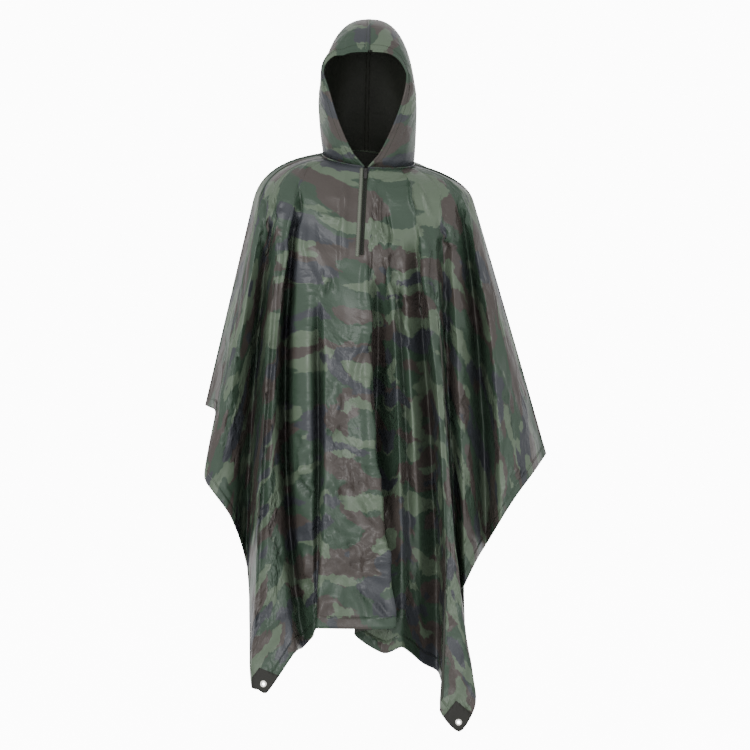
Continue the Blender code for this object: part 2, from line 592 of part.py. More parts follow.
def join_shapes(target, shape):
    """Fuse a second closed shape into a piece."""
    union = target.modifiers.new("with_" + shape.name, "BOOLEAN")
    union.operation = "UNION"
    union.solver = "EXACT"
    union.object = shape
    shape.hide_render = True
    shape.display_type = "WIRE"


def slider_body(face):
    bm = bmesh.new()
    bmesh.ops.create_cube(bm, size=1.0)
    bmesh.ops.scale(bm, verts=bm.verts, vec=(SLIDER_WIDTH, SLIDER_LENGTH, SLIDER_DEPTH))
    bmesh.ops.translate(bm, verts=bm.verts, vec=(0, 0, face + SLIDER_DEPTH / 2))
    bmesh.ops.bevel(
        bm, geom=bm.edges[:], offset=SLIDER_EDGE, segments=2, profile=0.5, affect="EDGES",
        material=-1,
    )
    return object_from_bmesh(bm, "zip_slider", SLIDER_METAL)


def slider_bridge(top):
    """The arch over the pull's cross bar: an outline along the slit, pushed across it."""
    half, inside = BRIDGE_LENGTH / 2, BRIDGE_LENGTH / 2 - BRIDGE_LEG
    low, knee, crown = top - BRIDGE_ROOT, top + 0.6 * BRIDGE_RISE, top + BRIDGE_RISE
    under_knee, under_crown = top + 0.5 * BRIDGE_RISE, top + 0.72 * BRIDGE_RISE
    rising = [(half, knee), (half, low), (inside, low), (inside, under_knee), (half / 2, under_crown)]
    outline = [(0.62 * half, crown)] + rising
    outline += [(-y, z) for y, z in reversed(outline)]
    outline = [(-BRIDGE_WIDTH / 2, y, z) for y, z in outline]
    return prism(outline, (BRIDGE_WIDTH, 0, 0), "slider_bridge_shape", SLIDER_METAL)


def build_slider(frame):
    face = -WALL - SLIDER_BACK
    top = face + SLIDER_DEPTH
    slider, bridge = slider_body(face), slider_bridge(top)
    put_in_frame(slider, frame)
    put_in_frame(bridge, frame)
    join_shapes(slider, bridge)
    return top


def pull_outlines():
    """The tab's outline and the window beside the bridge, from the cross bar down the slit."""
    half, bar = PULL_WIDTH / 2, PULL_BAR_RADIUS
    across, along = PULL_CORNER
    window = BRIDGE_LENGTH / 2 + PULL_ARM
    right = [(half - across, PULL_LENGTH), (half, PULL_LENGTH - along), (half, -bar)]
    outside = [(-x, y) for x, y in reversed(right)] + right
    arm = half - PULL_ARM
    return outside, [(-arm, bar), (arm, bar), (arm, window), (-arm, window)]


def build_pull(frame, top):
    """The pull tab, hung by its cross bar under the slider's bridge; its origin is on the bar."""
    point, across, down, out = frame
    bm = bmesh.new()
    loops = []
    for z in (-PULL_BAR_RADIUS, PULL_BAR_RADIUS):
        rings = [[bm.verts.new((x, y, z)) for x, y in shape] for shape in pull_outlines()]
        edges = []
        for ring in rings:
            edges += [bm.edges.new((ring[k - 1], ring[k])) for k in range(len(ring))]
        bmesh.ops.triangle_fill(bm, edges=edges, use_beauty=True, use_dissolve=False)
        loops.append(rings)
    for low, high in zip(*loops):
        for k in range(len(low)):
            bm.faces.new([low[k - 1], low[k], high[k], high[k - 1]])
    pull = object_from_bmesh(bm, "zip_pull", SLIDER_METAL, smooth=False)
    put_in_frame(pull, (across * 0, across, down, out))
    pull.location = Vector(point + out * (top + PULL_REST + PULL_BAR_RADIUS))


# -------------------------------------------------------------------------------- corners of the sheet
def flat_direction(points, column, turn):
    """Direction of the hem away from a corner, seen level from the front or the back."""
    run = points[column + turn, -1] - points[column, -1]
    run[1] = 0.0
    return unit(run)


def patch_square(tip, leg_a, leg_b, name):
    """A square prism with two sides along the hems, run a little past them."""
    start = tip - (leg_a + leg_b) * PATCH_SPARE - (0, CUTTER_REACH, 0)
    reach = PATCH_SIDE + PATCH_SPARE
    outline = [start, start + leg_a * reach, start + (leg_a + leg_b) * reach, start + leg_b * reach]
    return prism(outline, (0, 2 * CUTTER_REACH, 0), name, PATCH_CLOTH)


def build_patch(outer, normals, first, last, name):
    """Cloth over a corner, made of the panel's own facets there, moved out."""
    part_outer = outer[first:last + 1, -3:]
    part_normals = normals[first:last + 1, -3:]
    under = part_outer + part_normals * SEAM_GAP
    over = part_outer + part_normals * (SEAM_GAP + PATCH_THICKNESS)
    return wall_from_grids(over, under, name, PATCH_CLOTH)


def turned(profile, sides, name, finish):
    """A piece turned round Z from a closed outline of radii and heights."""
    bm = bmesh.new()
    ring = [bm.verts.new((radius, 0, height)) for radius, height in profile]
    edges = [bm.edges.new((ring[k], ring[(k + 1) % len(ring)])) for k in range(len(ring))]
    bmesh.ops.spin(
        bm, geom=ring + edges, cent=(0, 0, 0), axis=(0, 0, 1), steps=sides, angle=2 * math.pi,
        use_merge=True,
    )
    bmesh.ops.remove_doubles(bm, verts=bm.verts, dist=1e-6)
    return object_from_bmesh(bm, name, finish)


def eyelet_profile():
    """A barrel through the cloth with a flange on each side, clear of the cloth and its patch."""
    low = -WALL - 2 * SEAM_GAP
    high = PATCH_THICKNESS + 3 * SEAM_GAP
    face = EYELET_FLANGE_RADIUS - EYELET_ROUNDING
    return [
        (EYELET_HOLE_RADIUS, low - EYELET_FLANGE), (face, low - EYELET_FLANGE),
        (EYELET_FLANGE_RADIUS, low), (EYELET_BARREL_RADIUS, low), (EYELET_BARREL_RADIUS, high),
        (EYELET_FLANGE_RADIUS, high), (face, high + EYELET_FLANGE),
        (EYELET_HOLE_RADIUS, high + EYELET_FLANGE),
    ]


def build_corner(body, panel, corner, side, where):
    """Reinforcement and eyelet at one corner, with their hole through both layers."""
    outer, normals, tree, folds, steps = panel
    name = where + "_" + corner.name.split("_")[1]
    column, first, last = (fold_column(folds, steps, fold) for fold in corner)
    leg_a, leg_b = flat_direction(outer, column, -1), flat_direction(outer, column, 1)
    tip = outer[column, -1]
    patch = build_patch(outer, normals, first, last, "corner_patch_" + name)
    cut(patch, patch_square(tip, leg_a, leg_b, "square_" + name), "INTERSECT")
    middle = tip + unit(leg_a + leg_b) * EYELET_SETBACK
    point, normal = place_on(tree, middle[0], middle[2], side)
    turn = Vector((0, 0, 1)).rotation_difference(Vector(normal))
    eyelet = turned(eyelet_profile(), EYELET_SIDES, "eyelet_" + name, EYELET_METAL)
    bm = bmesh.new()
    hole = EYELET_BARREL_RADIUS + SEAM_GAP
    bmesh.ops.create_cone(
        bm, cap_ends=True, segments=EYELET_SIDES, radius1=hole, radius2=hole, depth=PUNCH_DEPTH,
    )
    punch = object_from_bmesh(bm, "punch_" + name, EYELET_METAL, smooth=False)
    for piece in (eyelet, punch):
        piece.rotation_euler = turn.to_euler()
        piece.location = Vector(point)
    cut(body, punch)
    cut(patch, punch)


def build_zip(body, tree):
    cut(body, slit_cutter())
    top = neck_point(np.array(0.0))[2] - ZIP_START
    under, edge = -WALL - ZIP_GAP, TAPE_SPLIT / 2
    for name, low in (("zip_tape_left", -edge - TAPE_WIDTH), ("zip_tape_right", edge)):
        strip_on(tree, low, low + TAPE_WIDTH, top, ZIP_FOOT_Z - TAPE_TAIL,
                 under - TAPE_THICKNESS, under, name, TAPE)
    edge = -SLIT_WIDTH / 2 - FLY_SETBACK
    strip_on(tree, edge - FLY_WIDTH, edge, top, ZIP_FOOT_Z - FLY_TAIL,
             ZIP_GAP, ZIP_GAP + FLY_THICKNESS, "zip_fly", CLOTH)
    frame = zip_frame(tree)
    build_pull(frame, build_slider(frame))


def main():
    clear_scene()
    for folds, column, side, corners in (
        (FRONT_FOLDS, "front", 1, FRONT_CORNERS),
        (BACK_FOLDS, "back", -1, BACK_CORNERS),
    ):
        body, outer, normals, steps = build_body(folds, column, corners, "body_" + column)
        panel = (outer, normals, surface_tree(outer), folds, steps)
        if column == "front":
            build_zip(body, panel[2])
        for corner in corners:
            build_corner(body, panel, corner, side, column)
    build_hood(-1, "hood_left")
    build_hood(1, "hood_right")


main()
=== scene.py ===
# %% [markdown]
# # A rain poncho of camouflage-coated cloth
#
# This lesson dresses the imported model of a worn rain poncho: one big sheet with a hood, a short
# neck zip and an eyelet at each corner. The frame holds the rigid model, in metres, with +Z up and
# the front towards -Y. Every cloth piece here is a thin shell that hangs in the same place as its
# solid, with the finer folds, creases and sewing that a solid doesn't hold.

# %% Load the frame
import json
import math
from collections import namedtuple
from contextlib import contextmanager

import bmesh
import bpy
import numpy as np
from mathutils import Matrix, Vector
from mathutils.bvhtree import BVHTree


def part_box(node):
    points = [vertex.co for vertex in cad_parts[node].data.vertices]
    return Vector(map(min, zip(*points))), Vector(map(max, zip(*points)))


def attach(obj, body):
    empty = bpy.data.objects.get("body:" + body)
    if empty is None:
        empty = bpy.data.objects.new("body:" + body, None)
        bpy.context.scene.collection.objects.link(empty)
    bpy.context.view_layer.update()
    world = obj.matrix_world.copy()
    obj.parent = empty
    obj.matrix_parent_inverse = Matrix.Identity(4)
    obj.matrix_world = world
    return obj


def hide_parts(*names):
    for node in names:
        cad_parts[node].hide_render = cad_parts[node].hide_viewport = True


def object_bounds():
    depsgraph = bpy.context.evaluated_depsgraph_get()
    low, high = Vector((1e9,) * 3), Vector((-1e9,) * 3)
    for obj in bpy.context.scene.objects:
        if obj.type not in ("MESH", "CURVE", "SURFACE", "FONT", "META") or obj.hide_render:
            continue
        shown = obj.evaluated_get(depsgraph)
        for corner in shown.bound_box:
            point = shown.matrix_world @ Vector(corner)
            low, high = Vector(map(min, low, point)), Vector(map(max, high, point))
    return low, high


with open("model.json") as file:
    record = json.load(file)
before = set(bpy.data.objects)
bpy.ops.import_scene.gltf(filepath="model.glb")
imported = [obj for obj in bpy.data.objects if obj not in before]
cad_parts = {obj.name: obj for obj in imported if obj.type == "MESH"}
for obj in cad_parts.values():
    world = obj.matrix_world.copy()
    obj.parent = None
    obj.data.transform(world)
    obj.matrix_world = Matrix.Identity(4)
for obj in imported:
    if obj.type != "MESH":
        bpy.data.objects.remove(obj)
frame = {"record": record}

CAD_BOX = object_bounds()
print("model box", [[round(float(v), 4) for v in corner] for corner in CAD_BOX])

# %% Objects from data


def in_scene(name, data):
    """A new object around a mesh, a lamp or a camera."""
    made = bpy.data.objects.new(name, data)
    bpy.context.collection.objects.link(made)
    return made


def mesh_in_scene(name, bm):
    """A new mesh object from a bmesh, which is used up."""
    mesh = bpy.data.meshes.new(name)
    bm.to_mesh(mesh)
    bm.free()
    return in_scene(name, mesh)


@contextmanager
def editing(made):
    """An object's mesh as a bmesh, written back at the end."""
    bm = bmesh.new()
    bm.from_mesh(made.data)
    yield bm
    bm.to_mesh(made.data)
    bm.free()


# %% [markdown]
# ## Camera
#
# The camera stands far off behind a long lens, so that near and far folds keep their proportions.
# It looks level along +Y, and its lens is worked out from the width that should fill the frame at
# the distance of the garment.

# %% Camera
VIEW_DISTANCE = 7.0
VIEW_MIDDLE = Vector((0.020, 0.0, -0.4725))
VIEW_WIDTH = 1.6875
SENSOR = 36.0

camera_data = bpy.data.cameras.new("camera")
camera_data.sensor_width = SENSOR
camera_data.lens = SENSOR * VIEW_DISTANCE / VIEW_WIDTH
camera = in_scene("camera", camera_data)
camera.location = VIEW_MIDDLE - Vector((0.0, VIEW_DISTANCE, 0.0))
camera.rotation_euler = (math.pi / 2, 0.0, 0.0)
bpy.context.scene.camera = camera
print("lens", round(camera_data.lens, 1), "mm")

# %% [markdown]
# ## Light and floor
#
# Coated cloth shows its folds by what it mirrors as much as by shade. A pale room all round gives
# the soft grey sheen along its edges, and leaves deep folds dark, because they see only more
# cloth. A soft lamp on the left models the ridges, one on the right fills them, and one beside the
# camera reaches down to the bottom of every fold that the camera can see.

# %% Light and floor
ROOM_LIGHT = 1.20
LAMPS = (
    # name, place, aimed at, width, height, watts
    ("key", (-2.4, -4.2, 0.5), (0.0, 0.0, -0.5), 1.6, 2.2, 104.0),
    ("fill", (3.0, -3.4, 0.0), (0.0, 0.0, -0.5), 1.8, 2.2, 16.0),
    ("beside the camera", (0.3, -6.4, -0.1), (0.0, 0.0, -0.5), 1.6, 1.6, 60.0),
)


def add_lamp(name, place, aim, width, height, watts):
    data = bpy.data.lights.new(name, "AREA")
    data.shape = "RECTANGLE"
    data.size, data.size_y = width, height
    data.energy = watts
    lamp = in_scene(name, data)
    lamp.location = place
    lamp.rotation_euler = (Vector(aim) - Vector(place)).to_track_quat("-Z", "Y").to_euler()


for lamp in LAMPS:
    add_lamp(*lamp)

BACKDROP_LIGHT = 12.0    # what the camera itself sees all round, bright enough to come out white
FLOOR_DIMMER = 1.0       # how much less than that the floor shines
WHITE = (1.0, 1.0, 1.0, 1.0)


def seen_by_camera(tree, near, far):
    """A strength that is one value for the camera's own rays and another for all other light."""
    made = tree.nodes.new("ShaderNodeMix")
    tree.links.new(tree.nodes.new("ShaderNodeLightPath").outputs["Is Camera Ray"], made.inputs[0])
    made.inputs[2].default_value = far
    made.inputs[3].default_value = near
    return made.outputs[0]


world = bpy.data.worlds.new("pale_room")
world.use_nodes = True
room = world.node_tree.nodes["Background"]
room.inputs["Color"].default_value = WHITE
world.node_tree.links.new(seen_by_camera(world.node_tree, BACKDROP_LIGHT, ROOM_LIGHT),
                          room.inputs["Strength"])
bpy.context.scene.world = world

FLOOR_DROP = 0.06
FLOOR_HEIGHT = float(CAD_BOX[0][2]) - FLOOR_DROP
FLOOR_REACH = 6.0
FLOOR_SHADE = (0.93, 0.93, 0.93, 1.0)
FLOOR_ROUGHNESS = 0.9
bm = bmesh.new()
bmesh.ops.create_grid(bm, x_segments=1, y_segments=1, size=FLOOR_REACH)
bmesh.ops.translate(bm, verts=bm.verts, vec=(0.0, 0.0, FLOOR_HEIGHT))
floor = mesh_in_scene("floor", bm)
floor_paint = bpy.data.materials.new("floor_paint")
floor_paint.use_nodes = True
paint = floor_paint.node_tree.nodes["Principled BSDF"]
paint.inputs["Base Color"].default_value = FLOOR_SHADE
paint.inputs["Roughness"].default_value = FLOOR_ROUGHNESS
paint.inputs["Emission Color"].default_value = WHITE
floor_shine = seen_by_camera(floor_paint.node_tree, BACKDROP_LIGHT - FLOOR_DIMMER, 0.0)
floor_paint.node_tree.links.new(floor_shine, paint.inputs["Emission Strength"])
floor.data.materials.append(floor_paint)
print("floor at", round(FLOOR_HEIGHT, 3), "m")

# %% [markdown]
# ## The cloth's form
#
# A poncho hangs in folds that start at the shoulders and run down to the hem. The same few sizes
# that shape the solid shape this shell: an outer form at a few heights, and one row for each fold
# line, with where it stands and how deep it lies behind the outer form. Working from fold lines
# keeps each fold adjustable on its own, where a simulation would decide them for us.

# %% Sizes and fold lines
WALL = 0.0009            # thickness of the shell: coated cloth with its seams
NECK_LEFT = 0.098
NECK_RIGHT = 0.108
NECK_DEPTH = 0.098
NECK_HEIGHT = 0.013
NECK_TILT_FRONT = 0.024
NECK_TILT_RIGHT = 0.011
SHOULDER_SLOPE = 0.15
SLOPE_DIFFERENCE = 0.07
CAP_BOTTOM = -0.080
SEAM_GAP = 0.0003
SEAM_LINE = "arm_seam"

Level = namedtuple("Level", "z left right front back")
BODY_FORM = [Level(*row) for row in (
    (-0.00, 0.215, 0.205, 0.100, 0.100),
    (-0.08, 0.254, 0.241, 0.130, 0.128),
    (-0.20, 0.281, 0.276, 0.152, 0.148),
    (-0.30, 0.306, 0.306, 0.164, 0.157),
    (-0.42, 0.333, 0.341, 0.175, 0.163),
    (-0.55, 0.366, 0.375, 0.186, 0.170),
    (-0.65, 0.372, 0.406, 0.194, 0.176),
    (-1.00, 0.372, 0.412, 0.216, 0.196),
    (-1.30, 0.372, 0.412, 0.228, 0.208),
)]
FOLD_ONSET = 0.16
FORM_SQUARE = 2.4

Fold = namedtuple("Fold", "name x_top x_mid x_hem z_hem deep_mid deep_hem start soft")
FRONT_FOLDS = [Fold(*row) for row in (
    ("arm_seam_left", -0.254, -0.308, -0.362, -0.540, 0.000, 0.000, 0.00, 1.0),
    ("arm_crease", -0.241, -0.292, -0.336, -0.556, 0.012, 0.022, 0.00, 0.7),
    ("arm_front", -0.233, -0.290, -0.360, -0.702, 0.000, 0.000, 0.00, 0.9),
    ("arm_ridge", -0.224, -0.282, -0.342, -0.730, 0.000, 0.012, 0.00, 0.6),
    ("arm_inner", -0.214, -0.266, -0.300, -0.790, 0.050, 0.060, 0.05, 0.9),
    ("arm_valley", -0.204, -0.252, -0.268, -0.902, 0.130, 0.150, 0.03, 0.9),
    ("side_ridge", -0.187, -0.227, -0.250, -1.158, 0.000, 0.000, 0.00, 0.6),
    ("side_dimple", -0.178, -0.221, -0.236, -1.162, 0.012, 0.004, 0.00, 0.8),
    ("corner_left", -0.163, -0.210, -0.218, -1.169, 0.000, 0.000, 0.00, 0.7),
    ("corner_flank", -0.157, -0.196, -0.158, -1.084, 0.026, 0.012, 0.00, 0.8),
    ("chest_valley", -0.151, -0.181, -0.140, -1.076, 0.128, 0.085, 0.00, 0.9),
    ("pouch_edge", -0.140, -0.161, -0.126, -1.060, 0.018, 0.080, 0.10, 0.5),
    ("pouch_ridge", -0.128, -0.121, -0.116, -1.047, 0.000, 0.062, 0.10, 0.8),
    ("panel_valley", -0.117, -0.104, -0.111, -1.032, 0.055, 0.058, 0.22, 0.8),
    ("panel_left", -0.104, -0.090, -0.106, -1.026, 0.000, 0.000, 0.20, 0.5),
    ("panel_middle", -0.056, -0.044, -0.021, -1.027, 0.004, 0.004, 0.20, 1.0),
    ("panel_right", -0.018, 0.006, 0.049, -1.026, 0.000, 0.000, 0.20, 0.8),
    ("panel_edge", 0.000, 0.019, 0.067, -1.024, 0.014, 0.008, 0.20, 0.4),
    ("panel_return", 0.013, 0.022, -0.026, -1.046, 0.092, 0.110, 0.16, 0.8),
    ("second_left", 0.030, 0.055, 0.040, -1.086, 0.038, 0.072, 0.12, 0.8),
    ("second_ridge", 0.042, 0.072, 0.078, -1.070, 0.004, 0.042, 0.12, 0.6),
    ("second_crease", 0.054, 0.088, 0.098, -1.086, 0.040, 0.088, 0.08, 0.8),
    ("crumpled_ridge", 0.074, 0.106, 0.126, -1.112, 0.012, 0.118, 0.05, 0.8),
    ("side_valley", 0.098, 0.142, 0.160, -1.134, 0.098, 0.140, 0.05, 0.8),
    ("long_ridge", 0.108, 0.164, 0.169, -1.176, 0.000, 0.012, 0.00, 0.5),
    ("corner_face", 0.120, 0.175, 0.161, -1.206, 0.006, 0.014, 0.00, 0.9),
    ("corner_right", 0.136, 0.183, 0.204, -1.252, 0.006, 0.002, 0.00, 0.9),
    ("corner_side", 0.150, 0.181, 0.234, -1.211, 0.010, -0.006, 0.00, 0.9),
    ("corner_back", 0.160, 0.177, 0.241, -1.174, 0.030, 0.002, 0.00, 0.8),
    ("thin_crease", 0.171, 0.186, 0.205, -0.968, 0.060, 0.102, 0.03, 0.9),
    ("side_pleat", 0.186, 0.205, 0.218, -0.932, 0.006, 0.030, 0.03, 0.7),
    ("pleat_flank", 0.198, 0.226, 0.242, -0.886, 0.030, 0.050, 0.00, 0.9),
    ("arm_hollow", 0.208, 0.255, 0.268, -0.850, 0.118, 0.110, 0.00, 0.9),
    ("sleeve_ridge", 0.220, 0.281, 0.296, -0.795, 0.006, 0.020, 0.00, 0.6),
    ("sleeve_face", 0.229, 0.304, 0.332, -0.740, 0.000, 0.006, 0.00, 0.9),
    ("sleeve_side", 0.236, 0.313, 0.368, -0.694, 0.004, 0.004, 0.00, 0.9),
    ("arm_seam_right", 0.241, 0.324, 0.405, -0.650, 0.000, 0.000, 0.00, 1.0),
)]
BACK_FOLDS = [Fold(*row) for row in (
    ("arm_seam_left", -0.254, -0.308, -0.362, -0.540, 0.000, 0.000, 0.00, 1.0),
    ("arm_crease", -0.245, -0.292, -0.336, -0.562, 0.014, 0.026, 0.00, 0.8),
    ("elbow_ridge", -0.232, -0.290, -0.336, -0.640, 0.000, 0.000, 0.00, 0.7),
    ("elbow_inner", -0.218, -0.268, -0.296, -0.720, 0.040, 0.050, 0.05, 0.9),
    ("elbow_valley", -0.205, -0.250, -0.262, -0.800, 0.115, 0.120, 0.03, 0.9),
    ("tail_side", -0.190, -0.232, -0.254, -1.096, 0.004, 0.004, 0.00, 0.6),
    ("corner_left", -0.172, -0.212, -0.228, -1.156, 0.000, 0.000, 0.00, 0.8),
    ("tail_flank", -0.158, -0.194, -0.188, -1.085, 0.010, 0.008, 0.00, 0.8),
    ("blade_valley", -0.146, -0.176, -0.172, -1.050, 0.105, 0.100, 0.06, 0.8),
    ("blade_ridge", -0.128, -0.152, -0.158, -1.036, 0.000, 0.004, 0.03, 0.5),
    ("blade_face", -0.110, -0.126, -0.126, -1.026, 0.006, 0.010, 0.03, 0.9),
    ("inner_valley", -0.094, -0.104, -0.100, -1.018, 0.074, 0.088, 0.16, 0.8),
    ("spine_left", -0.074, -0.080, -0.096, -1.012, 0.000, 0.000, 0.12, 0.5),
    ("spine", -0.022, -0.016, -0.030, -1.004, 0.006, 0.004, 0.12, 1.0),
    ("spine_right", 0.028, 0.038, 0.034, -1.006, 0.000, 0.000, 0.12, 0.6),
    ("spine_return", 0.046, 0.054, 0.030, -1.010, 0.084, 0.096, 0.14, 0.8),
    ("yoke_ridge", 0.066, 0.086, 0.090, -1.016, 0.004, 0.006, 0.10, 0.5),
    ("yoke_face", 0.086, 0.112, 0.118, -1.026, 0.006, 0.008, 0.06, 0.9),
    ("yoke_valley", 0.104, 0.134, 0.136, -1.046, 0.088, 0.104, 0.05, 0.8),
    ("tail_ridge", 0.124, 0.158, 0.168, -1.092, 0.000, 0.014, 0.02, 0.5),
    ("corner_right", 0.146, 0.182, 0.204, -1.172, 0.004, 0.002, 0.00, 0.8),
    ("tail_back", 0.164, 0.200, 0.226, -1.110, 0.020, 0.000, 0.00, 0.8),
    ("side_valley", 0.182, 0.222, 0.222, -0.880, 0.108, 0.110, 0.03, 0.9),
    ("sleeve_pleat", 0.200, 0.252, 0.268, -0.812, 0.004, 0.014, 0.02, 0.6),
    ("sleeve_hollow", 0.214, 0.272, 0.294, -0.768, 0.074, 0.080, 0.02, 0.9),
    ("sleeve_ridge", 0.226, 0.300, 0.334, -0.716, 0.000, 0.000, 0.00, 0.6),
    ("sleeve_side", 0.235, 0.314, 0.370, -0.676, 0.006, 0.006, 0.00, 0.9),
    ("arm_seam_right", 0.241, 0.324, 0.405, -0.648, 0.000, 0.000, 0.00, 1.0),
)]
Corner = namedtuple("Corner", "name first last")
FRONT_CORNERS = [
    Corner("corner_left", "side_ridge", "corner_flank"),
    Corner("corner_right", "long_ridge", "corner_back"),
]
BACK_CORNERS = [
    Corner("corner_left", "tail_side", "tail_flank"),
    Corner("corner_right", "tail_ridge", "tail_back"),
]
print(len(FRONT_FOLDS), "fold lines in front and", len(BACK_FOLDS), "behind")

# %% [markdown]
# ## Helpers for curves and grids
#
# A fold line is a curve through three places. Columns of points between the lines are read from
# one smooth curve across them, whose bend at each line can be soft like a gather or sharp like a
# pressed edge.

# %% Curves and grids
STEP_WEIGHTS = (1.5, 0.8)    # how much width and depth count when columns are shared out
DRIFT_PITCH = 0.8            # waves along a line, for the longest wave of a drift
DRIFT_SCALE = 2.2            # brings a drift's sum of waves back to about 1


def smoothstep(share):
    share = np.clip(share, 0.0, 1.0)
    return share * share * (3.0 - 2.0 * share)


def through_three(start, middle, end, share):
    first = 2.0 * (share - 0.5) * (share - 1.0)
    second = 4.0 * share * (1.0 - share)
    third = 2.0 * share * (share - 0.5)
    return start * first + middle * second + end * third


def unit(vectors):
    length = np.linalg.norm(vectors, axis=-1, keepdims=True)
    return vectors / np.maximum(length, 1e-12)


def loft(lines, soft, steps):
    """Columns through lines of points: smooth across, sharper where a line's softness is low."""
    knots = np.zeros(len(lines))
    chord = np.linalg.norm(np.diff(lines, axis=0), axis=2).mean(axis=1)
    knots[1:] = np.cumsum(np.sqrt(np.maximum(chord, 1e-6)))
    slope = np.zeros_like(lines)
    for k in range(len(lines)):
        low, high = max(k - 1, 0), min(k + 1, len(lines) - 1)
        if low == k or high == k:
            slope[k] = (lines[high] - lines[low]) / (knots[high] - knots[low])
            continue
        before = (lines[k] - lines[low]) / (knots[k] - knots[low])
        after = (lines[high] - lines[k]) / (knots[high] - knots[k])
        across = (lines[high] - lines[low]) / (knots[high] - knots[low])
        slope[k] = (before + after - across) * soft[k]
    columns = []
    for k in range(len(lines) - 1):
        width = knots[k + 1] - knots[k]
        for part in range(steps[k]):
            s = part / steps[k]
            columns.append(
                lines[k] * (2 * s**3 - 3 * s**2 + 1)
                + slope[k] * width * (s**3 - 2 * s**2 + s)
                + lines[k + 1] * (3 * s**2 - 2 * s**3)
                + slope[k + 1] * width * (s**3 - s**2)
            )
    columns.append(lines[-1])
    return np.array(columns)


def shared_steps(lines, total):
    """How many columns each stretch between two lines gets, for a total number of them."""
    across, deep, up = np.moveaxis(np.abs(np.diff(lines, axis=0)), 2, 0)
    wide, far = STEP_WEIGHTS
    chord = np.sqrt((wide * across) ** 2 + (far * deep) ** 2 + up**2).mean(axis=1)
    steps = np.maximum(2, np.round(chord / chord.sum() * total)).astype(int)
    while steps.sum() > total:
        steps[np.argmax(steps)] -= 1
    return [int(n) for n in steps]


def grid_normals(points, outward):
    normals = unit(np.cross(np.gradient(points, axis=0), np.gradient(points, axis=1)))
    return normals if np.sum(normals * outward) > 0 else -normals


def drift(share, seed, waves=4):
    """A slow wander between -1 and 1 along a line, different for each seed."""
    chance = np.random.RandomState(seed)
    total = np.zeros_like(share)
    for n in range(1, waves + 1):
        wave = np.sin(2 * math.pi * (n * DRIFT_PITCH * share + chance.rand()))
        total += wave * (0.5 + chance.rand()) / n
    return total / DRIFT_SCALE


# %% Neck, shoulder cap and fold lines
WANDER_GROWS, WANDER_FADES = 5.0, 6.0    # how fast a line's wander comes in and dies out
WANDER_ACROSS = 0.7                      # its sideways share


def neck_point(angle, lift=0.0):
    """The neck seam at an angle in degrees from the throat, positive to the right."""
    turn = np.radians(angle)
    width = np.where(np.sin(turn) < 0, NECK_LEFT, NECK_RIGHT)
    return np.stack([
        width * np.sin(turn),
        -NECK_DEPTH * np.cos(turn),
        NECK_HEIGHT - NECK_TILT_FRONT * np.cos(turn) - NECK_TILT_RIGHT * np.sin(turn) + lift,
    ], axis=-1)


def form_depth(x, z, column):
    heights = [level.z for level in BODY_FORM][::-1]
    left = np.interp(z, heights, [level.left for level in BODY_FORM][::-1])
    right = np.interp(z, heights, [level.right for level in BODY_FORM][::-1])
    depth = np.interp(z, heights, [getattr(level, column) for level in BODY_FORM][::-1])
    reach = np.where(x < 0, left, right)
    across = np.clip(np.abs(x) / reach, 0.0, 1.0)
    return depth * (1.0 - across**FORM_SQUARE) ** (1.0 / FORM_SQUARE)


def hang_point(fold, share, column, wander=0.0):
    x = through_three(fold.x_top, fold.x_mid, fold.x_hem, share)
    z = CAP_BOTTOM + share * (fold.z_hem - CAP_BOTTOM)
    climb = np.clip((share - fold.start) / (0.5 - fold.start), 0.0, 1.0)
    grown = climb * (2.0 - climb) * smoothstep(climb / FOLD_ONSET)
    lower = smoothstep((share - 0.5) / 0.5)
    deep = fold.deep_mid * grown + (fold.deep_hem - fold.deep_mid) * lower
    side = -1.0 if column == "front" else 1.0
    if fold.name.startswith(SEAM_LINE):
        y = np.full_like(x, side * SEAM_GAP / 2)
    else:
        seed = sum(ord(letter) for letter in fold.name + column)
        ends = np.minimum(share * WANDER_GROWS, (1.0 - share) * WANDER_FADES)
        free = np.clip(ends, 0.0, 1.0) * wander
        x = x + drift(share, seed) * free * WANDER_ACROSS
        deep = deep + drift(share, seed + 1) * free
        y = side * (form_depth(x, z, column) - deep)
    return np.stack([x, y, z + 0.0 * x], axis=-1)


def fold_line(fold, column, cap_rows, shares, wander=0.0):
    top = hang_point(fold, np.array([0.0]), column)[0]
    if fold.name.startswith(SEAM_LINE):
        angle = 90.0 if fold.x_top > 0 else -90.0
    else:
        angle = math.degrees(math.atan2(top[0], -top[1]))
    neck = neck_point(np.array(angle))
    reach = math.hypot(top[0] - neck[0], top[1] - neck[1])
    slope = SHOULDER_SLOPE + SLOPE_DIFFERENCE * math.sin(math.radians(angle))
    rise = neck[2] - slope * reach - CAP_BOTTOM
    above = hang_point(fold, np.array([rise / (fold.z_hem - CAP_BOTTOM)]), column)[0]
    t = np.arange(cap_rows)[:, None] / cap_rows
    cap = neck * (1 - t) ** 2 + above * 2 * t * (1 - t) + top * t**2
    if fold.name.startswith(SEAM_LINE):
        cap[:, 1] = top[1]
    return np.concatenate([cap, hang_point(fold, shares, column, wander)])


def fold_column(folds, steps, name):
    """The column on which a fold line lies."""
    return sum(steps[:[fold.name for fold in folds].index(name)])


print("the throat is at", neck_point(np.array(0.0)).round(3))

# %% [markdown]
# ## Creases and crumples
#
# Between its big folds, coated cloth keeps every crease that it was packed with. The main creases
# are listed one row for each: where it runs, seen level from the front or the back, how
# far it stands out or sinks in, and how wide it is on either side. A crease that is narrow on one
# side and wide on the other looks like the edge of a fold. Knots are the small stars of creases
# where folds meet. A light crumple between random cell centres breaks up what is left.

# %% Main creases
Crease = namedtuple("Crease", "x_a z_a x_b z_b rise left right")
Knot = namedtuple("Knot", "x z reach rise")


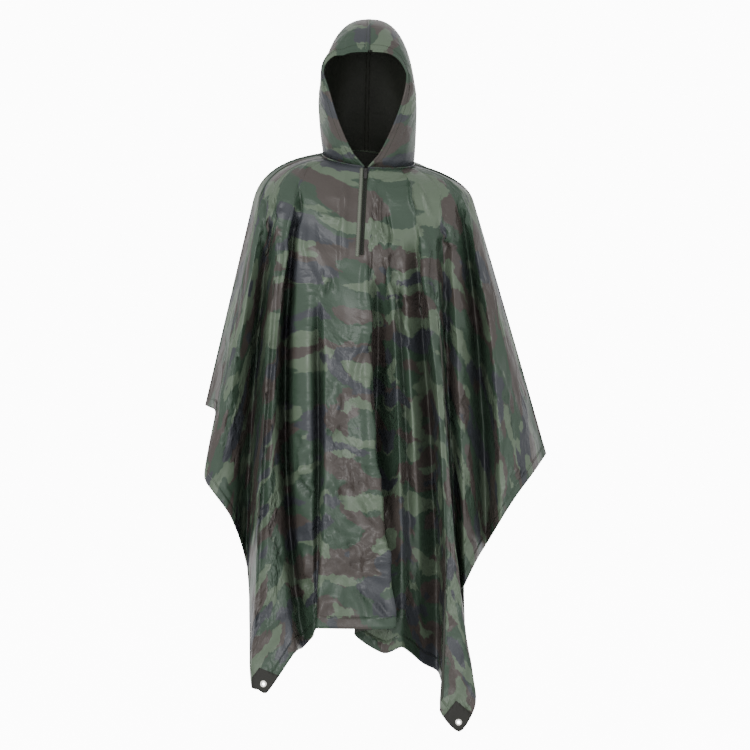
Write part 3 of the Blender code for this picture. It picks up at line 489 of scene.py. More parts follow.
def in_metres(kind, rows):
    """Named rows from sizes given in millimetres."""
    return [kind(*(size / 1000 for size in row)) for row in rows]


FRONT_CREASES = in_metres(Crease, (
    # left shoulder and sleeve
    (-117, 18, -151, -25, 4, 12, 16),
    (-151, -34, -167, -191, -9, 14, 18),
    (-163, -40, -200, -340, 5, 12, 10),
    (-230, -34, -214, -258, 5, 10, 14),
    (-222, -20, -236, -200, -5, 10, 10),
    (-256, -90, -282, -240, 3, 10, 12),
    (-300, -274, -317, -423, 4, 10, 14),
    (-285, -300, -302, -470, -4, 10, 10),
    (-324, -722, -299, -745, 3, 10, 10),
    # chest, left of the zip
    (-137, -137, -137, -236, 3, 9, 14),
    (-119, -104, -52, -128, 4, 9, 12),
    (-52, -16, -52, -225, 3, 8, 30),
    (-72, -236, -97, -299, -5, 10, 12),
    (-84, -225, -60, -300, 4, 10, 12),
    # sharp edges of the middle panel and of the folds beside it
    (-14, -100, 4, -560, 8, 30, 8),
    (-2, -360, 30, -760, 8, 34, 8),
    (16, -600, 56, -960, 8, 34, 8),
    (36, -780, 74, -1140, 8, 34, 8),
    (-52, 10, -53, -260, 4, 8, 34),
    (52, -180, 66, -400, 6, 28, 8),
    (120, -110, 135, -400, 6, 8, 30),
    # zip and chest, right of it
    (4, -35, -2, -290, -7, 7, 16),
    (9, -52, 36, -97, 5, 10, 10),
    (7, -101, 25, -133, -4, 9, 9),
    (41, -140, 9, -176, 5, 10, 10),
    (30, -60, 40, -180, 4, 10, 10),
    (50, -95, 52, -198, -6, 10, 10),
    (54, -198, 63, -277, -7, 9, 10),
    (63, -277, 77, -385, -10, 10, 14),
    (77, -385, 110, -421, -7, 10, 12),
    (79, -338, 104, -396, 5, 10, 10),
    (104, -396, 133, -353, 5, 10, 10),
    (95, -27, 110, -122, 5, 10, 16),
    (110, -122, 126, -182, 6, 9, 18),
    (126, -182, 133, -315, 8, 9, 24),
    (133, -315, 144, -473, 5, 9, 20),
    (115, -36, 153, -122, 4, 10, 14),
    # right shoulder and sleeve
    (158, -149, 216, -196, 6, 10, 12),
    (203, -191, 218, -239, 5, 10, 10),
    (194, -133, 216, -182, -5, 10, 10),
    (207, -56, 234, -153, 6, 8, 20),
    (234, -153, 266, -315, 6, 8, 20),
    (191, -432, 203, -461, 5, 9, 10),
    (133, -299, 167, -299, 2, 9, 9),
    (185, -240, 178, -360, -4, 12, 12),
    (324, -680, 360, -700, 4, 10, 10),
    (277, -731, 324, -752, 3, 10, 10),
    (290, -400, 318, -560, 3, 12, 16),
    # middle panel
    (-56, -574, -90, -619, 5, 10, 12),
    (-60, -470, -75, -600, 4, 12, 12),
    (-38, -666, -16, -745, 7, 10, 16),
    (-16, -745, 41, -830, 7, 12, 18),
    (-79, -711, -50, -783, 7, 10, 16),
    (-50, -783, -23, -808, 6, 10, 12),
    (-38, -666, 23, -675, 4, 12, 10),
    (-16, -893, 52, -898, 6, 12, 12),
    (-16, -891, 45, -842, 5, 12, 12),
    (-16, -902, 59, -943, 4, 10, 12),
    (-29, -938, 56, -1040, 6, 10, 14),
    (-23, -932, 7, -1040, -5, 12, 12),
    (0, -961, 68, -1035, -5, 10, 12),
    (-52, -927, -68, -1044, 5, 12, 12),
    (-68, -871, -27, -920, 6, 12, 12),
    # pouch and left tail
    (-151, -632, -142, -700, 5, 10, 12),
    (-142, -700, -113, -745, 7, 10, 10),
    (-169, -700, -120, -752, -10, 12, 14),
    (-169, -806, -149, -857, 5, 9, 12),
    (-149, -857, -126, -927, 6, 9, 12),
    (-221, -801, -171, -925, -6, 10, 12),
    (-171, -925, -149, -1006, -5, 10, 12),
    (-209, -1010, -149, -995, 4, 10, 10),
    (-232, -1046, -194, -1028, 3, 10, 10),
    # second fold and right tail
    (232, -587, 234, -794, 5, 8, 12),
    (81, -774, 97, -898, 5, 10, 12),
    (97, -898, 77, -1037, 5, 10, 12),
    (225, -835, 261, -875, 5, 10, 10),
    (171, -840, 182, -1040, 2, 12, 12),
))
FRONT_KNOTS = in_metres(Knot, (
    (-203, -101, 28, 4),
    (-225, -151, 34, 4),
    (-104, -266, 40, 5),
    (20, -79, 36, 4),
    (27, -151, 34, 4),
    (79, -191, 24, 3),
    (86, -304, 28, 4),
    (189, -160, 44, 5),
    (272, -272, 26, 3),
    (-234, -506, 28, 4),
    (-74, -511, 40, 5),
    (-70, -585, 40, 5),
    (-135, -641, 34, 5),
    (-131, -686, 34, 5),
    (-38, -693, 40, 5),
    (-63, -720, 36, 5),
    (-16, -853, 56, 6),
    (-50, -905, 56, 6),
    (-95, -983, 40, 5),
    (-227, -790, 26, 4),
    (-135, -932, 26, 4),
    (205, -536, 40, 5),
    (221, -603, 34, 4),
    (239, -855, 34, 4),
    (223, -1103, 30, 2),
))
BACK_CREASES = in_metres(Crease, (
    (-180, -60, -150, -220, 5, 10, 16),
    (-120, -90, -60, -150, 4, 10, 12),
    (-30, -120, 30, -180, 4, 12, 12),
    (60, -60, 120, -160, 5, 10, 14),
    (150, -80, 200, -220, 5, 10, 16),
    (-200, -260, -235, -420, 5, 10, 14),
    (-60, -260, -20, -360, -5, 12, 12),
    (0, -420, 20, -560, 6, 12, 14),
    (-60, -520, 10, -600, 5, 12, 12),
    (110, -420, 80, -540, 5, 12, 12),
    (-150, -560, -110, -680, 5, 10, 12),
    (-50, -700, 20, -790, 7, 12, 16),
    (-70, -830, 0, -900, 6, 12, 14),
    (-20, -860, 30, -980, 6, 12, 14),
    (120, -700, 90, -860, 5, 10, 14),
    (-220, -860, -190, -1000, 5, 10, 14),
    (180, -820, 170, -1000, 4, 10, 14),
    (290, -420, 320, -580, 4, 12, 14),
    (-290, -340, -315, -500, 4, 12, 14),
))
BACK_KNOTS = in_metres(Knot, (
    (-200, -140, 36, 4),
    (-50, -190, 36, 4),
    (170, -150, 40, 4),
    (30, -320, 36, 4),
    (-40, -480, 44, 5),
    (-140, -620, 34, 4),
    (10, -650, 44, 5),
    (110, -600, 34, 4),
    (-30, -820, 52, 6),
    (20, -930, 44, 5),
    (-215, -780, 30, 4),
    (170, -900, 30, 4),
))
print(len(FRONT_CREASES), "creases and", len(FRONT_KNOTS), "knots in front")

# %% Relief of the creases
KNOT_ARMS = 7
CREASE_WANDER = 0.06     # how far a crease strays, as a share of its length
CREASE_STRENGTH = 1.9    # all the table's rises are scaled by this
KNOT_STRENGTH = 0.5      # and those of the knots by this as well
CREASE_FADE = 0.30       # share of its length over which each end fades
CRISP_TOP = 0.60         # creases narrow to this share at the chest, where the grid is finest
CRISP_HEIGHTS = (-0.9, -0.3)
FLANK_CURVE = 1.5
FACING = (1.5, 0.25)     # gain and loss that fade a crease out where the cloth is seen edge on
KNOT_SEED = 100
KNOT_START = 0.1         # a knot's creases start at this share of its reach
KNOT_CREASE_SIDE = 0.010
KNOT_TURNS = (0.6, 0.8)  # least share and spread by which turns and reaches differ
KNOT_RISES = (0.7, 0.6)  # the same for rises
CRUMPLE_CELL = (0.052, 0.080)
CRUMPLE_RISE = 0.0050
CRUMPLE_BEND = 0.012     # how far the cells' rows are bent, and in waves of these lengths
CRUMPLE_WAVES = (37.0, 41.0)
CRUMPLE_PATCHES = ((11.0, 1.0), (9.0, 2.0))  # waves along which crumpling comes and goes
CRUMPLE_EVEN = (0.55, 0.45)                  # its mean strength, and how far it comes and goes
HASHES = ((127.1, 311.7), (269.5, 183.3))
HASH_SCALE = 43758.5453
CALM_SEAM = 0.020        # over this distance from a seam or hem the relief fades out
CALM_ZIP = (0.004, 0.008)    # the same beside the slit and below its foot
HEM_RELIEF = 0.35        # share of the relief that is left at a hem


def seen_level(points, from_front):
    """Each point's place across and up as the camera sees it, or straight on for the back."""
    place = points[..., (0, 2)]
    if not from_front:
        return place
    middle = np.array((VIEW_MIDDLE.x, VIEW_MIDDLE.z))
    nearer = VIEW_DISTANCE / (VIEW_DISTANCE + points[..., 1:2])
    return middle + (place - middle) * nearer


def crease_relief(points, normals, creases, from_front):
    place = seen_level(points, from_front)
    relief = np.zeros(points.shape[:2])
    crisp = np.interp(place[..., 1], CRISP_HEIGHTS, (1.0, CRISP_TOP))
    for number, crease in enumerate(creases):
        a = np.array((crease.x_a, crease.z_a))
        run = np.array((crease.x_b, crease.z_b)) - a
        length = float(np.hypot(*run))
        along = ((place - a) @ run) / length**2
        aside = ((place - a) @ np.array((-run[1], run[0]))) / length
        aside = aside + drift(along, number, 3) * CREASE_WANDER * length
        reach = np.where(aside < 0, crease.left, crease.right) * crisp
        flank = np.clip(1.0 - np.abs(aside) / reach, 0.0, 1.0) ** FLANK_CURVE
        ends = smoothstep(np.minimum(along, 1.0 - along) / CREASE_FADE)
        relief += CREASE_STRENGTH * crease.rise * flank * ends
    gain, loss = FACING
    return relief * np.clip(np.abs(normals[..., 1]) * gain - loss, 0.0, 1.0)


def knot_creases(knots):
    """The short creases that run out of each knot, half of them ridges and half troughs."""
    made = []
    least, spread = KNOT_TURNS
    least_rise, rise_spread = KNOT_RISES
    for number, knot in enumerate(knots):
        chance = np.random.RandomState(KNOT_SEED + number)
        turn = chance.rand() * 2 * math.pi
        for arm in range(KNOT_ARMS):
            turn += 2 * math.pi / KNOT_ARMS * (least + spread * chance.rand())
            reach = knot.reach * (least + spread * chance.rand())
            start = KNOT_START * knot.reach
            across, up = math.sin(turn), math.cos(turn)
            uneven = least_rise + rise_spread * chance.rand()
            rise = KNOT_STRENGTH * knot.rise * uneven * (1 if arm % 2 else -1)
            made.append(Crease(knot.x + across * start, knot.z + up * start,
                               knot.x + across * reach, knot.z + up * reach, rise,
                               KNOT_CREASE_SIDE, KNOT_CREASE_SIDE))
    return made


def hashed(home, factors):
    """A number from 0 to 1 for each cell, which looks random but is always the same."""
    big = np.sin(home[..., 0] * factors[0] + home[..., 1] * factors[1]) * HASH_SCALE
    return big - np.floor(big)


def crumple_relief(flat):
    """Dents between random cell centres, so that the cell borders stand up as soft ridges."""
    cell = np.array(CRUMPLE_CELL)
    waves = [np.sin(flat[..., 1 - k] * CRUMPLE_WAVES[k]) for k in (0, 1)]
    bent = flat + CRUMPLE_BEND * np.stack(waves, -1)
    base = np.floor(bent / cell).astype(int)
    nearest = np.full(flat.shape[:2], 9.0)
    for i in (-1, 0, 1):
        for j in (-1, 0, 1):
            home = base + (i, j)
            centre = home + np.stack([hashed(home, factors) for factors in HASHES], -1)
            nearest = np.minimum(nearest, np.linalg.norm(bent / cell - centre, axis=-1))
    wave_u, wave_v = (np.sin(flat[..., k] * waves + start)
                      for k, (waves, start) in enumerate(CRUMPLE_PATCHES))
    mean, change = CRUMPLE_EVEN
    return CRUMPLE_RISE * (mean + change * wave_u * wave_v) * (nearest - 0.5)


def from_edge(flat):
    """How far in from the sheet's edge each flat place is."""
    return np.minimum(SHEET_WIDTH / 2 - np.abs(flat[..., 0]), SHEET_DROP - np.abs(flat[..., 1]))


def calm_edges(points, flat):
    """0 at the neck, the zip and the shoulder seams, little at the hems, 1 well inside."""
    neck = np.linalg.norm(flat, axis=-1) - NECK_HOLE
    seam = np.abs(points[..., 1])
    beside, below = CALM_ZIP
    zip_side = np.abs(points[..., 0] - slit_x(points[..., 2])) - beside
    zip_below = ZIP_FOOT_Z - below - points[..., 2]
    zip_near = np.where(points[..., 1] < 0, np.maximum(zip_side, zip_below), 1.0)
    inside = np.minimum.reduce([neck, seam, zip_near])
    hem = smoothstep(from_edge(flat) / (2 * CALM_SEAM))
    return smoothstep(inside / CALM_SEAM) * (HEM_RELIEF + (1.0 - HEM_RELIEF) * hem)


# %% The zip's slit
ZIP_TOP_X = 0.000
ZIP_FOOT_X = -0.010
ZIP_FOOT_Z = -0.208
SLIT_WIDTH = 0.0096
THROAT_Z = float(neck_point(np.array(0.0))[2])


def slit_x(z):
    """Middle of the zip's slit at a height."""
    return ZIP_FOOT_X + (ZIP_TOP_X - ZIP_FOOT_X) * (z - ZIP_FOOT_Z) / (THROAT_Z - ZIP_FOOT_Z)


print("the slit ends", round(-ZIP_FOOT_Z, 3), "m below the shoulders")

# %% [markdown]
# ## Draping one panel
#
# The front and the back are each one grid of about 270 by 170 cells. The grid's own plane is the
# flat cut: every fold line is a straight line in the flat sheet, from the neck hole to the place
# on the sheet's edge that it reaches. These flat places become the UV map, in metres, so a printed
# pattern keeps its scale and follows the cloth into the folds.

# %% Drape
SHEET_WIDTH = 1.42       # the whole sheet is 1.42 by 2.23 m, worn with its long side front to back
SHEET_DROP = 1.115
NECK_HOLE = 0.115        # radius of the neck hole in the flat sheet
ACROSS = 272
CAP_ROWS = 12
HANG_ROWS = 156
HEM_ROW = 0.945
COARSE_CAP_ROWS = 4
COARSE_HANG_ROWS = 16
COARSE_COLUMN = 0.032    # width of a column of the coarse grid, and the most between two lines
COARSE_MOST = 4
CORNER_NEAR = (2.0, 0.6)     # slope and start of the flat corner's edge, across
CORNER_FROM = (0.90, 0.045)  # and the share of the way down where it comes in, with its spread
WANDER = 0.0035          # how far fold lines stray from their smooth course
OUTWARD_RISE = 0.12      # outward is away from the upright axis, and this far up

Panel = namedtuple("Panel", "folds column steps points flat normals")


def corner_planes(folds, column, corners):
    """The plane in which each stiff corner lies: y as a function of x and z."""
    shares = np.append(np.linspace(0.0, HEM_ROW, COARSE_HANG_ROWS), 1.0)
    lines = np.array([fold_line(fold, column, COARSE_CAP_ROWS, shares) for fold in folds])
    chord = np.linalg.norm(np.diff(lines, axis=0), axis=2).mean(axis=1)
    steps = [int(min(COARSE_MOST, max(1, round(c / COARSE_COLUMN)))) for c in chord]
    grid = loft(lines, [fold.soft for fold in folds], steps)
    planes = []
    for corner in corners:
        first, last = (fold_column(folds, steps, name) for name in (corner.first, corner.last))
        points = grid[first:last + 1, -2:].reshape(-1, 3)
        terms = np.stack([points[:, 0], points[:, 2], np.ones(len(points))], axis=-1)
        planes.append(np.linalg.lstsq(terms, points[:, 1], rcond=None)[0])
    return planes


def lay_corners_flat(grid, folds, steps, column, corners):
    slope, start = CORNER_NEAR
    low, spread = CORNER_FROM
    down = smoothstep((np.linspace(0.0, 1.0, HANG_ROWS + 1) - low) / spread)[None, :]
    for corner, plane in zip(corners, corner_planes(folds, column, corners)):
        first, middle, last = (fold_column(folds, steps, name)
                               for name in (corner.first, corner.name, corner.last))
        index = np.arange(len(grid))
        near = np.where(index < middle, (index - first) / (middle - first),
                        (last - index) / (last - middle))
        near = smoothstep(near * slope + start)[:, None] * down
        part = grid[:, CAP_ROWS:]
        flat_y = part[..., 0] * plane[0] + part[..., 2] * plane[1] + plane[2]
        part[..., 1] += (flat_y - part[..., 1]) * near


def flat_cut(points, folds, steps, corners):
    """Where each point lies in the flat sheet, in metres: across, and down from the shoulders."""
    hem = np.linalg.norm(np.diff(points[:, -1], axis=0), axis=1)
    along = np.concatenate([[0.0], np.cumsum(hem)])
    stops = [0.0] + [along[fold_column(folds, steps, c.name)] for c in corners] + [along[-1]]
    half = SHEET_WIDTH / 2
    edge_u = np.interp(along, stops, [-half, -half, half, half])
    edge_v = np.interp(along, stops, [0.0, -SHEET_DROP, -SHEET_DROP, 0.0])
    edge = np.stack([edge_u, edge_v], axis=-1)
    neck = unit(edge) * NECK_HOLE
    down = np.linalg.norm(np.diff(points, axis=1), axis=2)
    reach = np.concatenate([np.zeros((len(points), 1)), np.cumsum(down, axis=1)], axis=1)
    share = reach / reach[:, -1:]
    return neck[:, None] + (edge - neck)[:, None] * share[..., None]


def drape(folds, column, corners, creases, knots):
    shares = np.linspace(0.0, 1.0, HANG_ROWS + 1)
    lines = np.array([fold_line(fold, column, CAP_ROWS, shares, WANDER) for fold in folds])
    steps = shared_steps(lines, ACROSS)
    points = loft(lines, [fold.soft for fold in folds], steps)
    outward = points * (1.0, 1.0, 0.0) + (0.0, 0.0, OUTWARD_RISE)
    flat = flat_cut(points, folds, steps, corners) * ((1.0, -1.0) if column == "back" else 1.0)
    normals = grid_normals(points, outward)
    relief = crease_relief(points, normals, creases, column == "front")
    relief += crease_relief(points, normals, knot_creases(knots), column == "front")
    relief += crumple_relief(flat)
    points = points + normals * (relief * calm_edges(points, flat))[..., None]
    lay_corners_flat(points, folds, steps, column, corners)
    return Panel(folds, column, steps, points, flat, grid_normals(points, outward))


front = drape(FRONT_FOLDS, "front", FRONT_CORNERS, FRONT_CREASES, FRONT_KNOTS)
back = drape(BACK_FOLDS, "back", BACK_CORNERS, BACK_CREASES, BACK_KNOTS)
print("front grid", front.points.shape, "back grid", back.points.shape)

# %% Cloth mesh from a grid


def flat_grid(wide, high, flat_at):
    """A grid of cells with the flat cut as its UV, and each vertex's column and row."""
    bm = bmesh.new()
    bmesh.ops.create_grid(bm, x_segments=wide, y_segments=high, size=0.5)
    uv = bm.loops.layers.uv.new("flat_cut")
    places = [(round((v.co.x + 0.5) * wide), round((0.5 - v.co.y) * high)) for v in bm.verts]
    for face in bm.faces:
        for loop in face.loops:
            loop[uv].uv = flat_at(places[loop.vert.index])
    return bm, places


def cloth_object(name, points, flat, normals):
    """One layer of cloth from a grid, facing out, with its places in the flat cut as its UV."""
    bm, places = flat_grid(points.shape[0] - 1, points.shape[1] - 1, lambda place: flat[place])
    for vert, place in zip(bm.verts, places):
        vert.co = points[place]
    bm.normal_update()
    facing = sum(float(np.dot(f.normal, normals[places[f.verts[0].index]])) for f in bm.faces)
    if facing < 0:
        bmesh.ops.reverse_faces(bm, faces=bm.faces)
    made = mesh_in_scene(name, bm)
    made.data.shade_smooth()
    return made


def give_wall(made, thickness, outside, inside):
    """A thickness behind the outer face, with a finish of its own on the inside."""
    made.data.materials.append(outside)
    made.data.materials.append(inside)
    wall = made.modifiers.new("wall", "SOLIDIFY")
    wall.thickness = thickness
    wall.offset = -1.0
    wall.material_offset = 1


front_cloth = cloth_object("front_cloth", front.points, front.flat, front.normals)
back_cloth = cloth_object("back_cloth", back.points, back.flat, back.normals)
print("cells:", len(front_cloth.data.polygons), "in front,",
      len(back_cloth.data.polygons), "behind")

# %% [markdown]
# ## The hood
#
# The hood is two mirrored halves joined by a seam over the crown. Each half is a grid of arches,
# from the neck seam up to the crown seam, and from the face opening back to the nape. The left
# edge of the face opening is rolled outwards, which shows the dark inner side of the cloth.

# %% Hood halves
Arch = namedtuple("Arch", "angle crown_y crown_z half_width square full_at lean")
HOOD_ARCHES = [Arch(*row) for row in (
    (3, -0.128, 0.243, 0.104, 3.6, 0.80, -0.020),
    (18, -0.113, 0.272, 0.112, 3.0, 0.62, -0.014),
    (42, -0.085, 0.302, 0.116, 2.8, 0.50, -0.006),
    (70, -0.040, 0.322, 0.116, 2.7, 0.40, 0.000),
    (95, 0.015, 0.326, 0.113, 2.5, 0.40, 0.004),
    (118, 0.075, 0.303, 0.104, 2.3, 0.40, 0.014),
    (135, 0.122, 0.245, 0.092, 2.1, 0.40, 0.022),
    (146, 0.140, 0.165, 0.074, 2.0, 0.40, 0.018),
    (154, 0.128, 0.090, 0.056, 2.0, 0.40, 0.008),
)]
NAPE_ANGLE = 160
HOOD_ROWS = 96
HOOD_ACROSS = 120
HOOD_HEIGHT = 0.32
HOOD_LIFT = 0.0005
HOOD_OPENING = 0.7
HOOD_LEAN = 0.006
HOOD_LEAN_CURVE = 1.5
HOOD_LEFT_SHARE = 0.97
BRIM_TURN = 0.019
BRIM_TURN_HEIGHT = 0.222
BRIM_TURN_SPREAD = 0.044
BRIM_TURN_WIDTH = 0.035
BRIM_TURN_START = -0.05
HOOD_MIDDLE = np.array((0.0, 0.01, 0.12))
Half = namedtuple("Half", "points flat normals")


def hood_lean(z):
    return HOOD_LEAN * np.clip(z / HOOD_HEIGHT, 0.0, 1.0) ** HOOD_LEAN_CURVE


def hood_arch(arch, side):
    """Points of one arch of the hood, from the neck seam up to the crown seam."""
    climb = np.linspace(0.0, math.pi / 2, HOOD_ROWS + 1)
    height = np.sin(climb) ** (2.0 / arch.square)
    width = np.cos(climb) ** (2.0 / arch.square)
    foot = neck_point(np.array(side * float(arch.angle)), HOOD_LIFT)
    start = abs(foot[0]) / arch.half_width
    opened = start + (1.0 - start) * np.minimum(height / arch.full_at, 1.0) ** HOOD_OPENING
    z = foot[2] + (arch.crown_z - foot[2]) * height
    share = 1.0 if side > 0 else HOOD_LEFT_SHARE + (1.0 - HOOD_LEFT_SHARE) * (1.0 - opened)
    x = side * share * arch.half_width * width * opened + hood_lean(z)
    y = foot[1] + (arch.crown_y - foot[1]) * height + arch.lean * np.sin(math.pi * height)
    return np.stack([x, y, z], axis=-1)


def turn_brim_out(points):
    high = np.exp(-(((points[..., 2] - BRIM_TURN_HEIGHT) / BRIM_TURN_SPREAD) ** 2))
    near = np.exp(-(((points[..., 1] - points[:1, :, 1]) / BRIM_TURN_WIDTH) ** 2))
    points[..., 0] -= BRIM_TURN * high * near * (points[..., 0] < BRIM_TURN_START)


def hood_half(side):
    nape = neck_point(side * np.linspace(NAPE_ANGLE, 180.0, HOOD_ROWS + 1), HOOD_LIFT)
    lines = np.array([hood_arch(arch, side) for arch in HOOD_ARCHES] + [nape])
    steps = shared_steps(lines, HOOD_ACROSS)
    points = loft(lines, [1.0] * len(lines), steps)
    if side < 0:
        turn_brim_out(points)
    angles = np.interp(np.arange(len(points)), np.cumsum([0] + steps),
                       [arch.angle for arch in HOOD_ARCHES] + [NAPE_ANGLE])
    points[:, 0] = neck_point(side * angles, HOOD_LIFT)
    points[:, -1, 0] = side * SEAM_GAP / 2 + hood_lean(points[:, -1, 2])
    across = np.linalg.norm(np.diff(points, axis=0), axis=2).mean(axis=1)
    up = np.linalg.norm(np.diff(points, axis=1), axis=2)
    flat_x = np.concatenate([[0.0], np.cumsum(across)])[:, None] + np.zeros(points.shape[:2])
    flat_y = np.concatenate([np.zeros((len(points), 1)), np.cumsum(up, axis=1)], axis=1)
    flat = np.stack([flat_x * side + side * SHEET_WIDTH, flat_y], axis=-1)
    return Half(points, flat, grid_normals(points, points - HOOD_MIDDLE))


hood_halves = {"left": hood_half(-1), "right": hood_half(1)}
hood_cloth = {name: cloth_object("hood_" + name + "_cloth", *half)
              for name, half in hood_halves.items()}
print("hood halves of", len(hood_cloth["left"].data.polygons), "cells")

# %% [markdown]
# ## Camouflage print
#
# A woodland print is four inks laid one over another: mid green, then brown, light green and near
# black, each in torn-edged blotches a little wider than tall. Every ink is a smooth noise cut at a
# level. A finer noise shifts the place where it is read, which tears the edges. It reads the flat
# cut, so the blotches follow the cloth into its folds at their true size.

# %% Print as a node group


def node(tree, kind, at=(0, 0), **settings):
    made = tree.nodes.new(kind)
    made.location = at
    for key, value in settings.items():
        setattr(made, key, value)
    return made


def mix_colours(tree, factor, first, second, at=(0, 0)):
    """A colour mix: both colours are sockets or plain values, and the factor is a socket."""
    made = node(tree, "ShaderNodeMix", at, data_type="RGBA")
    a, b = [s for s in made.inputs if s.type == "RGBA"]
    tree.links.new(factor, made.inputs[0])
    for socket, value in ((a, first), (b, second)):
        if isinstance(value, tuple):
            socket.default_value = value
        else:
            tree.links.new(value, socket)
    return [s for s in made.outputs if s.type == "RGBA"][0]


def noise(tree, vector, scale, detail=2.0, roughness=0.5, at=(0, 0)):
    made = node(tree, "ShaderNodeTexNoise", at)
    made.inputs["Scale"].default_value = scale
    made.inputs["Detail"].default_value = detail
    made.inputs["Roughness"].default_value = roughness
    tree.links.new(vector, made.inputs["Vector"])
    return made


GREEN = (0.030, 0.050, 0.034, 1.0)
BROWN = (0.048, 0.040, 0.036, 1.0)
LIGHT = (0.076, 0.102, 0.070, 1.0)
BLACK = (0.033, 0.036, 0.042, 1.0)
Ink = namedtuple("Ink", "name colour scale level place")
INKS = [
    Ink("brown", BROWN, 7.6, 0.515, (3.1, 1.7)),
    Ink("light", LIGHT, 9.4, 0.560, (9.4, 5.2)),
    Ink("black", BLACK, 9.0, 0.590, (6.3, 11.8)),
]
BLOTCH_STRETCH = 1.8     # how much wider than tall a blotch is
TEAR = 0.012             # how far torn edges stray, in metres
TEAR_SCALE = 55.0        # tears a metre
EDGE_SOFT = 0.006        # half-width of an ink's edge, as a share of the noise

print_group = bpy.data.node_groups.new("woodland_print", "ShaderNodeTree")
print_group.interface.new_socket("Flat place", in_out="INPUT", socket_type="NodeSocketVector")
print_group.interface.new_socket("Colour", in_out="OUTPUT", socket_type="NodeSocketColor")


def build_print(tree):
    entry = node(tree, "NodeGroupInput", (-1200, 0))
    place = entry.outputs["Flat place"]
    tear = noise(tree, place, TEAR_SCALE, 3.0, 0.65, (-1000, -200))
    centred = node(tree, "ShaderNodeVectorMath", (-820, -200), operation="SUBTRACT")
    centred.inputs[1].default_value = (0.5, 0.5, 0.5)
    tree.links.new(tear.outputs["Color"], centred.inputs[0])
    shift = node(tree, "ShaderNodeVectorMath", (-660, -200), operation="SCALE")
    shift.inputs["Scale"].default_value = 2.0 * TEAR
    tree.links.new(centred.outputs[0], shift.inputs[0])
    torn = node(tree, "ShaderNodeVectorMath", (-500, 0), operation="ADD")
    tree.links.new(place, torn.inputs[0])
    tree.links.new(shift.outputs[0], torn.inputs[1])
    last = node(tree, "ShaderNodeRGB", (-300, 300)).outputs[0]
    last.default_value = GREEN
    for k, ink in enumerate(INKS):
        across = -300 + 260 * k
        put = node(tree, "ShaderNodeMapping", (across, 0))
        put.inputs["Location"].default_value = (*ink.place, 0.0)
        put.inputs["Scale"].default_value = (1.0, BLOTCH_STRETCH, 1.0)
        tree.links.new(torn.outputs[0], put.inputs["Vector"])
        blot = noise(tree, put.outputs[0], ink.scale, 1.5, 0.45, (across, -260))
        edge = node(tree, "ShaderNodeMapRange", (across, 180))
        edge.inputs["From Min"].default_value = ink.level - EDGE_SOFT
        edge.inputs["From Max"].default_value = ink.level + EDGE_SOFT
        tree.links.new(blot.outputs["Fac"], edge.inputs["Value"])
        last = mix_colours(tree, edge.outputs["Result"], last, ink.colour, (across + 120, 360))
    leave = node(tree, "NodeGroupOutput", (700, 300))
    tree.links.new(last, leave.inputs["Colour"])


build_print(print_group)
print("inks:", ", ".join(ink.name for ink in INKS), "over green")

# %% [markdown]
# ## Coated cloth
#
# The print is on a thin woven polyester with a smooth waterproof coat. The coat gives a satin
# gloss that is uneven where the cloth has been handled. The reverse is plain dark cloth. One
# shader serves every outer piece. Fine crumples too small for the mesh are a bump on the same
# flat cut.

# %% Cloth materials
ROUGH_LOW = 0.29
ROUGH_HIGH = 0.42
CRUMPLES = ((24.0, 0.0090), (62.0, 0.0024))   # cells a metre, and depth of each size of crumple
WEAVE_SCALE = 900.0
WEAVE_DEPTH = 0.00005
MIRROR_LEVEL = 0.30      # how much of plain plastic's shine the thin coat has
PLAIN_SHADE = 0.75       # how dark plain cloth's darkest places are
HANDLED_SCALE = 14.0     # how finely the gloss varies, a metre
STRAY_SHARE = 0.06       # how far crumples stray from an even pattern
PATCHY = (-1.5, 2.4)     # crumples come and go over this range, so that some cloth stays smooth


def new_finish(name, mirror):
    """A new material, with its node tree and its shader."""
    made = bpy.data.materials.new(name)
    made.use_nodes = True
    shader = made.node_tree.nodes["Principled BSDF"]
    shader.inputs["Specular IOR Level"].default_value = mirror
    return made, made.node_tree, shader


def bump(tree, height, distance, strength, at, under=None):
    made = node(tree, "ShaderNodeBump", at)
    made.inputs["Strength"].default_value = strength
    made.inputs["Distance"].default_value = distance
    tree.links.new(height, made.inputs["Height"])
    if under is not None:
        tree.links.new(under, made.inputs["Normal"])
    return made.outputs[0]


def ranged(tree, value, low, high, at):
    """A value from 0 to 1 brought to another range."""
    made = node(tree, "ShaderNodeMapRange", at)
    made.inputs["To Min"].default_value = low
    made.inputs["To Max"].default_value = high
    tree.links.new(value, made.inputs["Value"])
    return made.outputs["Result"]


